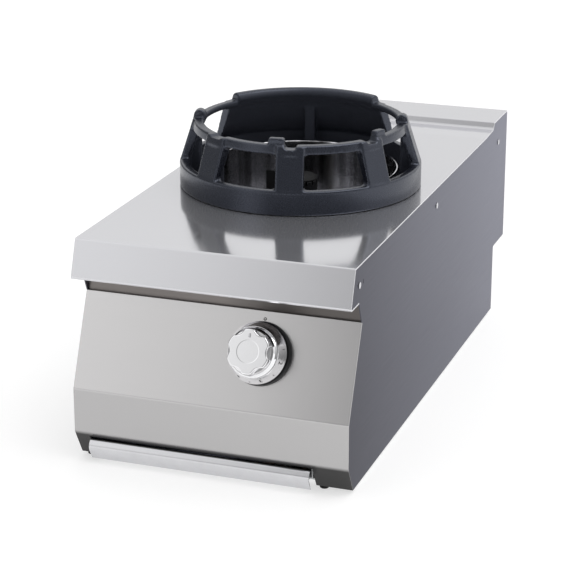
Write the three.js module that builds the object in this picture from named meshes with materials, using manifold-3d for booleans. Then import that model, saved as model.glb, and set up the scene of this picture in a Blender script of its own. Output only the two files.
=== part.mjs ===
// Counter-top gas wok range: folded stainless casing, one burner in a spill well, a cast-iron
// wok ring, a push-and-turn gas tap behind a slanted panel, and a drip tray on rails.
// Millimetres, +Z up. Sizes are written with y = 0 at the front band, z = 0 at the body's
// underside and x = 0 on the centre plane; the exported group is moved so that its origin
// lies at the bottom centre of the whole range.

import * as THREE from 'three';
import { mergeVertices } from 'three/addons/utils/BufferGeometryUtils.js';
import Module from 'manifold-3d';

const wasm = await Module();
wasm.setup();

// ---------------------------------------------------------------- driving dimensions

const fit = 0.3;                    // gap left between pieces that touch

// Casing, side view from the front band backwards
const unitWidth = 400;
const worktopHeight = 315;
const lowerDepth = 790;             // front band to the lower rear wall
const bayDepth = 70;                // gas bay under the rear overhang
const bayHeight = 109;
const lipHeight = 54;
const lipSetback = 4;               // foot of the lip behind the front band
const lipLean = 19;                 // how far the lip leans back over its height
const lipReturn = 36;
const panelTop = 230;
const panelSetback = 54;            // top of the slanted panel behind the front band
const bandTop = 103;
const bandBottom = 39;
const undercut = 22;                // front fold back to the base
const panelFlange = 12;
const baseFlange = 16;
const upstandRise = 12;
const upstandDepth = 88;
const upstandFoot = 61;             // shallow ramp in front of the upstand
const rampRise = 2;
const rearFlange = 30;
const worktopSheet = 2;
const panelSheet = 1.5;
const foldRadius = 3;
const foldSteps = 3;                // facets round a fold
const bendSteps = 3;                // facets along a pipe bend
const coveRadius = 9;

// Crossmember behind the recess under the lip
const crossmemberSetback = 58;
const crossmemberFlange = 32;

// Plugs and relief slot in the side panels
const plugRadius = 4.5;
const plugProud = 0.8;
const plugStem = 3;
const plugDrop = 28;                // below the worktop
const plugFirst = 40;               // from the front band
const plugLastInset = 60;           // last plug to the rear face
const plugCount = 3;
const slotOffset = 18;              // behind the first plug
const slotHeight = 6;
const slotWidth = 1.6;

// Wok ring, cast, turned a little as it was set down
const ringCentre = 383;             // from the front band
const ringTurn = 13.6;              // degrees
const ringFootRadius = 178.7;
const ringTopRadius = 158.5;
const ringHeight = 96;
const ringBandHeight = 36;
const ringBandWall = 13;
const ringSlopeStart = 33;          // where the posts lean away from the band's outer face
const ringHeadWall = 12.5;          // posts and wall under the rim, inside the top radius
const ringRooting = 6;              // how deep the posts run into the band
const ringChamfer = 2;
const postWidth = 40;
const postPitch = 45;               // degrees
const postFillet = 5;
const postProud = 5;                // post face in front of the window corners
const rimSetback = 2.7;             // rim's upper edge inside the top radius
const rimDepth = 15.7;              // rim's inner face inside the top radius
const rimBottom = 83;
const rimInnerFoot = 88;
const beadRadius = 9.3;
const beadSetback = 9.5;            // bead's centre inside the top radius
const beadHeight = 98;
const rearWallBearing = 181.7;      // degrees
const rearWallHalfAngle = 51;
const beadHalfAngle = 45.4;
const lugWidth = 17;
const ribWidth = 16;
const ribClearance = 2.9;           // upright inner edge outside the well's rim
const ribFoot = 6;
const ribBearings = [-90, -45, 0, 45, 90, 180];
const nubTop = 105.8;
const nubCorner = 3;
const nubs = [                      // raised wok rests: bearing in degrees and width
  { bearing: -7.6, width: 23 },
  { bearing: 52.3, width: 20 },
];
const dips = [                      // low places beside the rests
  { bearing: 0.2, width: 15.2, floor: 91 },
  { bearing: 45.3, width: 16.8, floor: 91 },
  { bearing: -44.8, width: 21, floor: 93 },
];

// Burner well, a rolled wall with a flange and rim, and a floor seamed under it
const wellRadius = 142;
const wellRimHeight = 25;           // above the worktop
const wellDepth = 80;               // floor below the worktop
const wellSheet = 1.5;
const wellRoll = 3;
const wellFlange = 22.5;
const wellCollar = 5;
const holeClearance = 3;            // worktop cut-out round the well

// Burner
const columnRadius = 22;
const columnWall = 4;
const columnTopAbove = -13;          // top of the body above the worktop
const columnSole = 20;              // foot of the body below the mixing tube's centre line
const headRadius = 25.5;
const headHeight = 18;
const headWall = 7;
const headSlots = 14;
const slotDepth = 6;
const burnerSlotWidth = 2.5;
const capHeight = 8;
const capCrown = 3;
const mixerRadius = 15;
const mixerBore = 10;
const mixerMouth = 20;
const mixerLength = 168;            // burner axis to the mouth
const mixerUnder = 45;              // centre line below the well's floor
const shutterDepth = 10;
const crossbarWidth = 44;
const crossbarHeight = 24;
const injectorRadius = 4.5;
const injectorLength = 14;
const holderRadius = 9;
const holderLength = 26;

// Pilot and thermocouple beside the burner
const pilotOffset = 44;             // from the burner axis
const pilotBearing = 165;           // degrees from +X
const thermoBearing = 195;
const pilotRadius = 4;
const thermoRadius = 3;
const pilotTopAbove = 6;            // above the worktop
const pilotFootUnder = 17;          // below the well's floor
const clipHeight = 6;
const clipAbove = 17;               // above the well's floor
const clipWall = 3;
const shieldLeft = -47.6;           // draught shield in front of the pilot, from the burner axis
const shieldRight = -25;
const shieldFront = -18;
const shieldSheet = 1.8;
const shieldFoot = 10;
const shieldTopAbove = 18;          // above the worktop

// Control on the slanted panel, measured along the panel from the crease
const knobSide = 65;
const knobUp = 80.5;
const indexUp = 47;                 // index dot above the knob axis
const indexRadius = 1.6;
const bezelRadius = 43.5;
const bezelHeight = 7;
const bezelBore = 13;
const skirtRadius = 42;
const skirtLift = 15;               // rear edge of the skirt off the panel
const skirtFront = 33;
const skirtTopRadius = 35.2;
const skirtWall = 2;
const gripRadius = 30.5;
const gripFront = 55;
const gripFlangeRadius = 34.4;
const gripFlange = 2.2;
const gripLobes = 6;
const scallopRadius = 6.5;
const scallopDepth = 3.6;
const gripDiscRadius = 15.5;
const gripDiscDepth = 0.6;
const hubRadius = 9;
const hubLift = 12;
const spindleRadius = 4;
const spindleOuter = 49;
const spindleInner = -15;
const pushTravel = 4;
const tapFace = -4.1;               // front of the tap behind the panel's outer face
const tapRadius = 14;
const tapBore = 10;
const tapBoreDepth = 24;
const tapLength = 52;
const collarHeight = 3;
const springTurnRadius = 7.4;
const springWire = 1.6;
const springTurns = 4;
const inletBossBack = 30;           // gas inlet boss behind the tap's front
const pilotBossBack = 40;
const pilotBossSide = -6;
const leadBossBack = 16;
const leadBossSide = 7;
const bossRadius = 9;
const bossLength = 10;
const smallBossRadius = 4.5;
const bracketWidth = 64;
const bracketHeight = 44;
const bracketSheet = 2;

// Gas lines
const supplyRadius = 8;
const feedRadius = 6;
const pilotPipeRadius = 2.2;
const leadRadius = 1.4;
const supplyInset = 28;             // supply line to the side of the unit
const feedRun = 34;                 // straight run of the feed pipe behind the tap
const pilotLineRise = 4;            // centre line above the mixing tube
const leadLineRise = 8.5;
const pilotLineTurn = 60;           // cross line in front of the pilot
const leadLineTurn = 70;
const supplyHeight = 60;
const inletRadius = 10.5;
const inletBore = 6;
const inletReach = 34;              // beyond the lower rear wall
const inletInner = 24;
const inletHex = 17;
const inletHexDepth = 9;
const saddleAt = 420;
const saddleWidth = 18;
const saddleWall = 2;

// Drip tray and base rails
const handleInsetLeft = 23;         // tray bar to the left side of the unit
const handleInsetRight = 54;
const trayInset = 11.5;             // tray inside the ends of its bar
const trayDepth = 492;
const trayHeight = 22;
const traySheet = 1.2;
const openingMargin = 2;
const openingTop = 33;
const handleTop = 30.5;
const handleBack = 6;
const handleRoll = 11;
const handleRollFoot = 8;
const handleReturn = 7;
const railSheet = 2;
const railSide = 1.2;               // running clearance beside the tray
const railLedge = 12;
const railHeight = 29;
const railFlange = 22;

// Feet
const footDrop = 5;
const footRadius = 6.5;
const footNeck = 5;
const footFront = 30;
const footRearInset = 30;           // from the lower rear wall
const footInsetRight = 43;          // from the sides of the unit
const footInsetLeft = 12;

// ---------------------------------------------------------------- worked-out places

const halfWidth = unitWidth / 2;
const supplySide = halfWidth - supplyInset;
const handleWidth = unitWidth - handleInsetLeft - handleInsetRight;
const trayCentre = (handleInsetLeft - handleInsetRight) / 2;
const trayWidth = handleWidth - 2 * trayInset;
const footRear = lowerDepth - footRearInset;
const footRight = halfWidth - footInsetRight;
const footLeft = footInsetLeft - halfWidth;
const trayFront = handleBack + traySheet + fit;
const fullDepth = lowerDepth + bayDepth;
const rearTop = worktopHeight + upstandRise;
const lipBottom = worktopHeight - lipHeight;
const sideInner = halfWidth - panelSheet;
const openingLeft = trayCentre - handleWidth / 2 - openingMargin;
const openingRight = trayCentre + handleWidth / 2 + openingMargin;
const wellFloor = worktopHeight - wellDepth;
const pilotFoot = wellFloor - pilotFootUnder;
const clipBase = wellFloor + clipAbove;
const mixerHeight = wellFloor - mixerUnder;
const mixerTop = mixerHeight + mixerRadius;
const columnFoot = mixerHeight - columnSole;
const columnTop = worktopHeight + columnTopAbove;
const headTop = columnTop + fit + headHeight;
const ringHeadInner = ringTopRadius - ringHeadWall;
const rimOuterRadius = ringTopRadius - rimSetback;
const rimInnerRadius = ringTopRadius - rimDepth;
const beadPitchRadius = ringTopRadius - beadSetback;
const ribInnerRadius = wellRadius + wellRoll - 0.4 + ribClearance;
const panelRun = new THREE.Vector2(panelSetback, panelTop - bandTop);
const panelLean = Math.atan2(panelRun.y, panelRun.x);
const degree = Math.PI / 180;

// ---------------------------------------------------------------- solids

const xAxis = new THREE.Vector3(1, 0, 0);
const yAxis = new THREE.Vector3(0, 1, 0);
const zAxis = new THREE.Vector3(0, 0, 1);
const vec = (x, y, z) => new THREE.Vector3(x, y, z);
const flat = (a, b) => new THREE.Vector2(a, b);

// A closed geometry as a solid: shared vertices merged, collapsed triangles left out.
function solid(geometry) {
  const bare = geometry.clone();
  bare.deleteAttribute('normal');
  bare.deleteAttribute('uv');
  const merged = mergeVertices(bare, 1e-4);
  const index = merged.index.array;
  const triangles = [];
  for (let i = 0; i < index.length; i += 3) {
    const [a, b, c] = [index[i], index[i + 1], index[i + 2]];
    if (a !== b && b !== c && c !== a) triangles.push(a, b, c);
  }
  return new wasm.Manifold(new wasm.Mesh({
    numProp: 3,
    vertProperties: Float32Array.from(merged.attributes.position.array),
    triVerts: Uint32Array.from(triangles),
  }));
}

function geometryOf(body) {
  const { vertProperties, triVerts } = body.getMesh();
  const geometry = new THREE.BufferGeometry();
  geometry.setAttribute('position', new THREE.BufferAttribute(vertProperties, 3));
  geometry.setIndex(new THREE.BufferAttribute(triVerts, 1));
  geometry.computeVertexNormals();
  return geometry;
}

const join = (...bodies) => bodies.reduce((whole, body) => whole.add(body));
const cut = (body, ...tools) => tools.reduce((rest, tool) => rest.subtract(tool), body);

function block(low, high) {
  const size = high.clone().sub(low);
  const middle = low.clone().add(high).multiplyScalar(0.5);
  return solid(new THREE.BoxGeometry(size.x, size.y, size.z).translate(...middle.toArray()));
}

// A straight round bar between two points.
function rod(radius, from, to, sides = 24) {
  const run = to.clone().sub(from);
  const geometry = new THREE.CylinderGeometry(radius, radius, run.length(), sides);
  geometry.applyQuaternion(new THREE.Quaternion().setFromUnitVectors(yAxis, run.normalize()));
  return solid(geometry.translate(...from.clone().add(to).multiplyScalar(0.5).toArray()));
}

// A profile of [radius, height] pairs turned about Z.
function turned(profile, sides) {
  const points = profile.map(([r, z]) => flat(r, z));
  const area = THREE.ShapeUtils.area(points);
  if (area < 0) points.reverse();
  if (points[0].x > 0) points.push(points[0].clone());
  return solid(new THREE.LatheGeometry(points, sides).rotateX(Math.PI / 2));
}

// An outline in the side view (y, z) carried along X.
function acrossX(outline, xFrom, xTo) {
  const geometry = new THREE.ExtrudeGeometry(new THREE.Shape(outline), {
    depth: xTo - xFrom, bevelEnabled: false,
  });
  geometry.applyMatrix4(new THREE.Matrix4().makeBasis(yAxis, zAxis, xAxis));
  return solid(geometry.translate(xFrom, 0, 0));
}

// An outline in the plan view (x, y) raised from one height to another.
function upright(outline, zFrom, zTo) {
  const geometry = new THREE.ExtrudeGeometry(new THREE.Shape(outline), {
    depth: zTo - zFrom, bevelEnabled: false,
  });
  return solid(geometry.translate(0, 0, zFrom));
}

// Corners [y, z, fold radius] as one line with its folds rounded.
function foldLine(corners) {
  const line = [];
  corners.forEach(([y, z, radius = 0], i) => {
    const here = flat(y, z);
    if (!radius) {
      line.push(here);
      return;
    }
    const back = flat(corners[i - 1][0] - y, corners[i - 1][1] - z).normalize();
    const on = flat(corners[i + 1][0] - y, corners[i + 1][1] - z).normalize();
    const half = Math.acos(back.dot(on)) / 2;
    const centre = here.clone()
      .addScaledVector(back.clone().add(on).normalize(), radius / Math.sin(half));
    const start = here.clone().addScaledVector(back, radius / Math.tan(half)).sub(centre);
    const left = back.cross(on) > 0;
    const sweep = (Math.PI - 2 * half) * (left ? -1 : 1);
    for (let step = 0; step <= foldSteps; step += 1) {
      line.push(start.clone().rotateAround(flat(0, 0), sweep * step / foldSteps).add(centre));
    }
  });
  return line;
}

// The line beside another, a distance to the right of its run.
function beside(line, distance) {
  return line.map((point, i) => {
    const before = line[Math.max(i - 1, 0)];
    const after = line[Math.min(i + 1, line.length - 1)];
    const run1 = (i > 0 ? point.clone().sub(before) : after.clone().sub(point)).normalize();
    const run2 = (i < line.length - 1 ? after.clone().sub(point) : run1.clone()).normalize();
    const middle = run1.clone().add(run2).normalize();
    const reach = distance / Math.max(middle.dot(run2), 0.2);
    return flat(point.x + middle.y * reach, point.y - middle.x * reach);
  });
}

const strip = (line, sheet) => [...line, ...beside(line, sheet).reverse()];

// A line of points as a curve whose even steps fall on the points.
class PointLine extends THREE.Curve {
  constructor(points) {
    super();
    this.points = points;
  }

  getPoint(t) {
    const place = t * (this.points.length - 1);
    const i = Math.min(Math.floor(place), this.points.length - 2);
    return this.points[i].clone().lerp(this.points[i + 1], place - i);
  }

  getPointAt(u) {
    return this.getPoint(u);
  }

  getTangentAt(u) {
    return this.getTangent(u);
  }
}

// A round bar along a line of centre points.
function tube(line, radius, sides) {
  const section = new THREE.Shape();
  section.absarc(0, 0, radius, 0, 2 * Math.PI);
  return solid(new THREE.ExtrudeGeometry(section, {
    steps: line.length - 1, extrudePath: new PointLine(line), curveSegments: sides / 2,
    bevelEnabled: false,
  }));
}

// A round pipe through corner points, bent at each corner.
function bentPipe(corners, radius, bend, sides) {
  const line = [corners[0]];
  for (let i = 1; i < corners.length - 1; i += 1) {
    const back = corners[i - 1].clone().sub(corners[i]);
    const on = corners[i + 1].clone().sub(corners[i]);
    const reach = Math.min(bend, back.length() * 0.45, on.length() * 0.45);
    const enter = corners[i].clone().addScaledVector(back.normalize(), reach);
    const leave = corners[i].clone().addScaledVector(on.normalize(), reach);
    line.push(...new THREE.QuadraticBezierCurve3(enter, corners[i], leave).getPoints(bendSteps));
  }
  line.push(corners[corners.length - 1]);
  return tube(line, radius, sides);
}

// ---------------------------------------------------------------- finishes and assembly

const finish = (color, roughness, metalness) => (
  new THREE.MeshStandardMaterial({ color, roughness, metalness })
);
const brushedSteel = () => finish(0xcdcdd0, 0.32, 1);
const darkSteel = () => finish(0x8b8d92, 0.4, 1);
const chrome = () => finish(0xe6e8ec, 0.08, 1);
const castIron = () => finish(0x23282f, 0.55, 0.6);
const blackPlastic = () => finish(0x141517, 0.35, 0);
const brass = () => finish(0xb99a52, 0.35, 1);
const copper = () => finish(0xb87551, 0.35, 1);
const zincSteel = () => finish(0xa4a7aa, 0.45, 1);
const rubber = () => finish(0x1b1b1c, 0.8, 0);

const range = new THREE.Group();
const body = new THREE.Group();
range.add(body);

function piece(name, shape, material, parent = body) {
  const mesh = new THREE.Mesh(geometryOf(shape), material);
  mesh.name = name;
  parent.add(mesh);
  return mesh;
}

// ---------------------------------------------------------------- casing

const frontFace = foldLine([
  [undercut, 0],
  [0, bandBottom, foldRadius],
  [0, bandTop, foldRadius],
  [panelSetback, panelTop],
]);
const panelLine = foldLine([
  [undercut + baseFlange, 0],
  [undercut, 0, foldRadius],
  [0, bandBottom, foldRadius],
  [0, bandTop, foldRadius],
  [panelSetback, panelTop, foldRadius],
  [panelSetback + panelFlange, panelTop],
]);
const worktopLine = foldLine([
  [lipSetback + lipReturn, lipBottom],
  [lipSetback, lipBottom, foldRadius],
  [lipSetback + lipLean, worktopHeight, foldRadius],
  [fullDepth - upstandDepth - upstandFoot, worktopHeight],
  [fullDepth - upstandDepth - coveRadius, worktopHeight + rampRise, coveRadius],
  [fullDepth - upstandDepth, rearTop, foldRadius],
  [fullDepth, rearTop, foldRadius],
  [fullDepth, rearTop - rearFlange],
]);
const backLine = foldLine([
  [fullDepth, rearTop - rearFlange - fit],
  [fullDepth, bayHeight, foldRadius],
  [lowerDepth, bayHeight, foldRadius],
  [lowerDepth, 0],
]);

// Point and directions of the control, set square to the slanted panel.
const panelUp = vec(0, panelRun.x, panelRun.y).normalize();
const panelOut = vec(0, -panelRun.y, panelRun.x).normalize();
const controlFoot = vec(knobSide, 0, bandTop).addScaledVector(panelUp, knobUp);
const controlPoint = (side, up, out) => controlFoot.clone()
  .addScaledVector(xAxis, side).addScaledVector(panelUp, up).addScaledVector(panelOut, out);

function makeWorktop() {
  const sheet = acrossX(strip(worktopLine, worktopSheet), -halfWidth, halfWidth);
  const hole = rod(wellRadius + holeClearance,
    vec(0, ringCentre, worktopHeight - 10), vec(0, ringCentre, worktopHeight + 10), 48);
  piece('worktop', cut(sheet, hole), brushedSteel());
}

function makeFrontPanel() {
  const face = acrossX(strip(frontFace, panelSheet), -halfWidth, halfWidth);
  const inner = acrossX(strip(panelLine, panelSheet), -sideInner + fit, sideInner - fit);
  const opening = block(vec(openingLeft, -20, -20), vec(openingRight, 60, openingTop));
  const neck = rod(tapBore, controlPoint(0, 0, -10), controlPoint(0, 0, 10));
  piece('front_panel', cut(join(face, inner), opening, neck), brushedSteel());
}

function makeCrossmember() {
  const front = crossmemberSetback;
  const line = foldLine([
    [front + crossmemberFlange, panelTop + fit],
    [front, panelTop + fit],
    [front, worktopHeight - worktopSheet - fit],
    [front + crossmemberFlange, worktopHeight - worktopSheet - fit],
  ]);
  piece('front_crossmember',
    acrossX(strip(line, panelSheet), -sideInner + fit, sideInner - fit), darkSteel());
}

function makeBackPanel() {
  const sheet = acrossX(strip(backLine, panelSheet), -halfWidth, halfWidth);
  const inletHole = rod(inletRadius + fit, vec(supplySide, lowerDepth - 10, supplyHeight),
    vec(supplySide, lowerDepth + 10, supplyHeight));
  piece('back_panel', cut(sheet, inletHole), brushedSteel());
}

// One plate inside the folded front, top and back, flush with their ends.
function sideOutline() {
  const front = beside(frontFace, panelSheet + fit);
  const top = beside(worktopLine, worktopSheet + fit);
  const back = beside(backLine, panelSheet + fit);
  const past = panelRun.clone().normalize().multiplyScalar(fit);
  const nose = lipSetback + lipReturn + fit;
  front[0].lerp(front[1], front[0].y / (front[0].y - front[1].y));
  front[front.length - 1].add(past);
  top[0].x = nose;
  back[back.length - 1].y = 0;
  return [
    ...front,
    flat(panelSetback, panelTop).add(past),
    flat(nose, lipBottom),
    ...top,
    ...back,
  ];
}

function plugPlaces() {
  const places = [];
  const pitch = (fullDepth - plugLastInset - plugFirst) / (plugCount - 1);
  for (let i = 0; i < plugCount; i += 1) places.push(plugFirst + i * pitch);
  return places;
}

function makeSides() {
  const plugHeight = worktopHeight - plugDrop;
  const slotAt = plugFirst + slotOffset;
  const outline = sideOutline();
  for (const [word, side] of [['left', -1], ['right', 1]]) {
    const outer = side * halfWidth;
    const inner = side * sideInner;
    let plate = acrossX(outline, Math.min(outer, inner), Math.max(outer, inner));
    const slot = block(
      vec(Math.min(outer, inner) - 1, slotAt - slotWidth / 2, plugHeight - slotHeight / 2),
      vec(Math.max(outer, inner) + 1, slotAt + slotWidth / 2, plugHeight + slotHeight / 2),
    );
    plate = cut(plate, slot);
    plugPlaces().forEach((y, i) => {
      plate = cut(plate, rod(plugStem + fit,
        vec(inner - side * 4, y, plugHeight), vec(outer + side * 4, y, plugHeight), 8));
      const cap = rod(plugRadius, vec(outer + side * fit, y, plugHeight),
        vec(outer + side * (fit + plugProud), y, plugHeight), 12);
      const stem = rod(plugStem, vec(inner - side * 2, y, plugHeight),
        vec(outer + side * (fit + 0.1), y, plugHeight), 8);
      piece(`side_plug_${word}_${i + 1}`, join(cap, stem), darkSteel());
    });
    piece(`side_panel_${word}`, plate, brushedSteel());
  }
}

// ---------------------------------------------------------------- wok ring

// Outer radius of the ring's sloped wall at a height.
const ringRadiusAt = (z) => ringFootRadius
  + (ringTopRadius - ringFootRadius) * (z - ringSlopeStart) / (ringHeight - ringSlopeStart);

// A side-view outline (tangent, z) pushed out from the ring's axis at a bearing from the front.
function radialPrism(outline, bearing, near, far) {
  const geometry = new THREE.ExtrudeGeometry(new THREE.Shape(outline), {
    depth: far - near, bevelEnabled: false,
  });
  const out = vec(Math.sin(bearing * degree), -Math.cos(bearing * degree), 0);
  const along = vec(Math.cos(bearing * degree), Math.sin(bearing * degree), 0);
  geometry.translate(0, 0, near);
  geometry.applyMatrix4(new THREE.Matrix4().makeBasis(along, zAxis, out));
  return solid(geometry);
}

// The web behind a post, spread into the band and the rim with round corners.
function webOutline() {
  const half = postWidth / 2;
  const low = ringBandHeight - ringRooting - 1;
  const sill = ringBandHeight + postFillet - 0.4;
  const head = rimBottom - postFillet + 0.4;
  const shape = new THREE.Path();
  shape.moveTo(-half - postFillet, low);
  shape.lineTo(half + postFillet, low);
  shape.absarc(half + postFillet, sill, postFillet, -Math.PI / 2, -Math.PI, true);
  shape.absarc(half + postFillet, head, postFillet, Math.PI, Math.PI / 2, true);
  shape.lineTo(half + postFillet, ringHeight - 2);
  shape.lineTo(-half - postFillet, ringHeight - 2);
  shape.absarc(-half - postFillet, head, postFillet, Math.PI / 2, 0, true);
  shape.absarc(-half - postFillet, sill, postFillet, 0, -Math.PI / 2, true);
  return shape.getPoints(3);
}

// A block with its two upper corners rounded, seen square on.
function roundTopped(width, low, high, corner) {
  const half = width / 2;
  const shape = new THREE.Path();
  shape.moveTo(-half, low);
  shape.lineTo(half, low);
  shape.absarc(half - corner, high - corner, corner, 0, Math.PI / 2, false);
  shape.absarc(-half + corner, high - corner, corner, Math.PI / 2, Math.PI, false);
  return shape.getPoints(4);
}

// The part of the plan between two bearings, as a wedge wider than the ring.
function wedge(bearing, halfAngle) {
  const reach = ringFootRadius * 1.5;
  const points = [flat(0, 0)];
  for (const share of [-1, -0.5, 0, 0.5, 1]) {
    const a = (bearing + share * halfAngle - 90) * degree;
    points.push(flat(reach * Math.cos(a), reach * Math.sin(a)));
  }
  return upright(points, -5, nubTop + 20);
}

// A rectangle in the same square-on view.
const upstanding = (width, low, high) => [
  flat(-width / 2, low), flat(width / 2, low), flat(width / 2, high), flat(-width / 2, high),
];

function makeRing() {
  const sides = 60;
  const wallFoot = ringBandHeight - ringRooting;
  const sillRadius = ringRadiusAt(ringBandHeight);
  const bandInner = ringFootRadius - ringBandWall;
  const band = turned([
    [bandInner, 0],
    [ringFootRadius, 0],
    [ringFootRadius, ringBandHeight - ringChamfer],
    [ringFootRadius - ringChamfer, ringBandHeight],
    [bandInner, ringBandHeight],
  ], sides);
  const cone = (inset) => turned([
    [bandInner + 0.4, wallFoot],
    [sillRadius - inset - 1, wallFoot],
    [sillRadius - inset, ringBandHeight],
    [ringTopRadius - inset, ringHeight],
    [rimInnerRadius + 0.6, ringHeight],
    [ringHeadInner, rimBottom],
    [bandInner + 0.2, ringBandHeight + 0.5],
  ], sides);
  const wall = cone(0);
  const webs = cone(postProud);
  const core = turned([
    [ribInnerRadius - 20, 0], [ringFootRadius - 4, 0], [ringFootRadius - 4, ringSlopeStart],
    [ringTopRadius - 4, ringHeight], [ribInnerRadius - 20, ringHeight],
  ], sides);
  const rim = turned([
    [rimInnerRadius, rimInnerFoot],
    [ringTopRadius, rimBottom],
    [rimOuterRadius, ringHeight],
    [rimInnerRadius, ringHeight],
  ], sides);
  const bead = turned(Array.from({ length: 10 }, (_, i) => {
    const a = (i + 0.5) / 10 * 2 * Math.PI;
    return [beadPitchRadius + beadRadius * Math.cos(a), beadHeight + beadRadius * Math.sin(a)];
  }), sides);
  const posts = [-2, -1, 0, 1, 2].flatMap((step) => [
    wall.intersect(radialPrism(upstanding(postWidth, wallFoot - 1, ringHeight + 1),
      step * postPitch, ringTopRadius - 30, ringFootRadius)),
    webs.intersect(radialPrism(webOutline(), step * postPitch, ringTopRadius - 30, ringFootRadius)),
  ]);
  const lugHalfAngle = lugWidth / 2 / beadPitchRadius / degree;
  const lugs = [-2, 2].map((step) => bead.intersect(wedge(step * postPitch, lugHalfAngle)));
  const ribs = ribBearings.map((bearing) => core.intersect(radialPrism(
    upstanding(ribWidth, ribFoot, rimInnerFoot + 3), bearing, ribInnerRadius, bandInner + 2)));
  const rests = nubs.map(({ bearing, width }) => (
    radialPrism(roundTopped(width, rimBottom + 6, nubTop, nubCorner), bearing,
      rimInnerRadius + 1, rimOuterRadius - 1.2)));
  const lows = dips.map(({ bearing, width, floor }) => (
    radialPrism(upstanding(width, floor, nubTop + 5), bearing, rimInnerRadius - 10, ringFootRadius)));
  const skeleton = join(...posts, wall.intersect(wedge(rearWallBearing, rearWallHalfAngle)), band,
    rim, ...ribs);
  const shape = cut(join(skeleton, bead.intersect(wedge(rearWallBearing, beadHalfAngle)), ...lugs),
    ...lows);
  const mesh = piece('wok_ring', join(shape, ...rests), castIron());
  mesh.rotation.z = ringTurn * degree;
  mesh.position.set(0, ringCentre, worktopHeight + fit);
}

// ---------------------------------------------------------------- well and burner

const burnerGroup = new THREE.Group();
burnerGroup.position.set(0, ringCentre, 0);
body.add(burnerGroup);

const bearingPoint = (bearing, radius, z) => (
  vec(radius * Math.cos(bearing * degree), radius * Math.sin(bearing * degree), z));

function makeWell() {
  const rimTopHeight = worktopHeight + wellRimHeight;
  const inner = wellRadius - wellSheet;
  const holeRadius = columnRadius + 2 * fit;
  const wallFoot = wellFloor + wellSheet + fit;
  piece('burner_well', turned([
    [inner, wallFoot],
    [wellRadius, wallFoot],
    [wellRadius, worktopHeight + fit],
    [wellRadius + wellFlange, worktopHeight + fit],
    [wellRadius + wellFlange, worktopHeight + fit + wellSheet],
    [wellRadius, worktopHeight + fit + wellSheet],
    [wellRadius, rimTopHeight - wellRoll],
    [wellRadius + wellRoll - 0.4, rimTopHeight - wellRoll + 0.6],
    [wellRadius + wellRoll - 0.4, rimTopHeight - 1.4],
    [wellRadius + wellRoll / 2, rimTopHeight],
    [inner + 0.5, rimTopHeight - 0.5],
    [inner, rimTopHeight - 1.6],
  ], 44), brushedSteel(), burnerGroup);

  const floor = turned([
    [holeRadius, wellFloor],
    [wellRadius, wellFloor],
    [wellRadius, wellFloor + wellSheet],
    [holeRadius + wellSheet, wellFloor + wellSheet],
    [holeRadius + wellSheet, wellFloor + wellCollar],
    [holeRadius, wellFloor + wellCollar],
  ], 32);
  const pilotHole = (bearing, radius) => rod(radius + fit,
    bearingPoint(bearing, pilotOffset, wellFloor - 5),
    bearingPoint(bearing, pilotOffset, wellFloor + 5), 12);
  piece('well_floor', cut(floor, pilotHole(pilotBearing, pilotRadius),
    pilotHole(thermoBearing, thermoRadius)), brushedSteel(), burnerGroup);
}

function makeBurner() {
  const column = turned([
    [0, columnFoot], [columnRadius, columnFoot], [columnRadius, columnTop - 9],
    [headRadius - 1, columnTop - 3], [headRadius - 1, columnTop], [0, columnTop],
  ], 24);
  const chamber = turned([
    [0, columnFoot + columnWall],
    [columnRadius - columnWall, columnFoot + columnWall],
    [columnRadius - columnWall, columnTop + 5],
    [0, columnTop + 5],
  ], 18);
  const mixer = turned([
    [0, 0], [mixerRadius, 0], [mixerRadius, mixerLength * 0.45],
    [mixerRadius - 2.5, mixerLength * 0.7], [mixerMouth, mixerLength - 6],
    [mixerMouth, mixerLength], [0, mixerLength],
  ], 18);
  const throat = turned([
    [0, 0], [mixerBore + 1, 0], [mixerBore, mixerLength * 0.7],
    [mixerMouth - 4, mixerLength + 1], [0, mixerLength + 1],
  ], 16);
  const lay = (shape) => {
    const geometry = geometryOf(shape).rotateX(Math.PI / 2).translate(0, 0, mixerHeight);
    return solid(geometry);
  };
  piece('burner_body', cut(join(column, lay(mixer)), chamber, lay(throat)), castIron(), burnerGroup);

  const headFoot = columnTop + fit;
  const innerRadius = headRadius - headWall;
  const head = turned([
    [innerRadius, headFoot], [headRadius - 1, headFoot], [headRadius, headFoot + 3],
    [headRadius, headTop - 1], [headRadius - 1, headTop], [innerRadius, headTop],
  ], 28);
  const slots = [];
  for (let i = 0; i < headSlots; i += 1) {
    const outline = upstanding(burnerSlotWidth, headTop - slotDepth, headTop + 2);
    slots.push(radialPrism(outline, (i + 0.5) * 360 / headSlots, innerRadius - 4, headRadius + 4));
  }
  piece('burner_head', cut(head, ...slots), castIron(), burnerGroup);

  const capFoot = headTop + fit;
  piece('burner_cap', turned([
    [0, capFoot - slotDepth], [innerRadius - 2, capFoot - slotDepth], [innerRadius - 1, capFoot],
    [headRadius - 0.5, capFoot], [headRadius, capFoot + 2],
    [headRadius - 4, capFoot + capHeight - capCrown],
    [headRadius - 14, capFoot + capHeight - 1], [0, capFoot + capHeight],
  ], 28), castIron(), burnerGroup);
}

function makeCrossbar() {
  const top = columnFoot - fit;
  const near = -crossbarWidth / 2;
  const line = foldLine([
    [near, top - crossbarHeight], [near, top], [-near, top], [-near, top - crossbarHeight],
  ]);
  piece('burner_crossbar',
    acrossX(strip(line, railSheet), -sideInner + fit, sideInner - fit), zincSteel(), burnerGroup);
}

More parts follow.
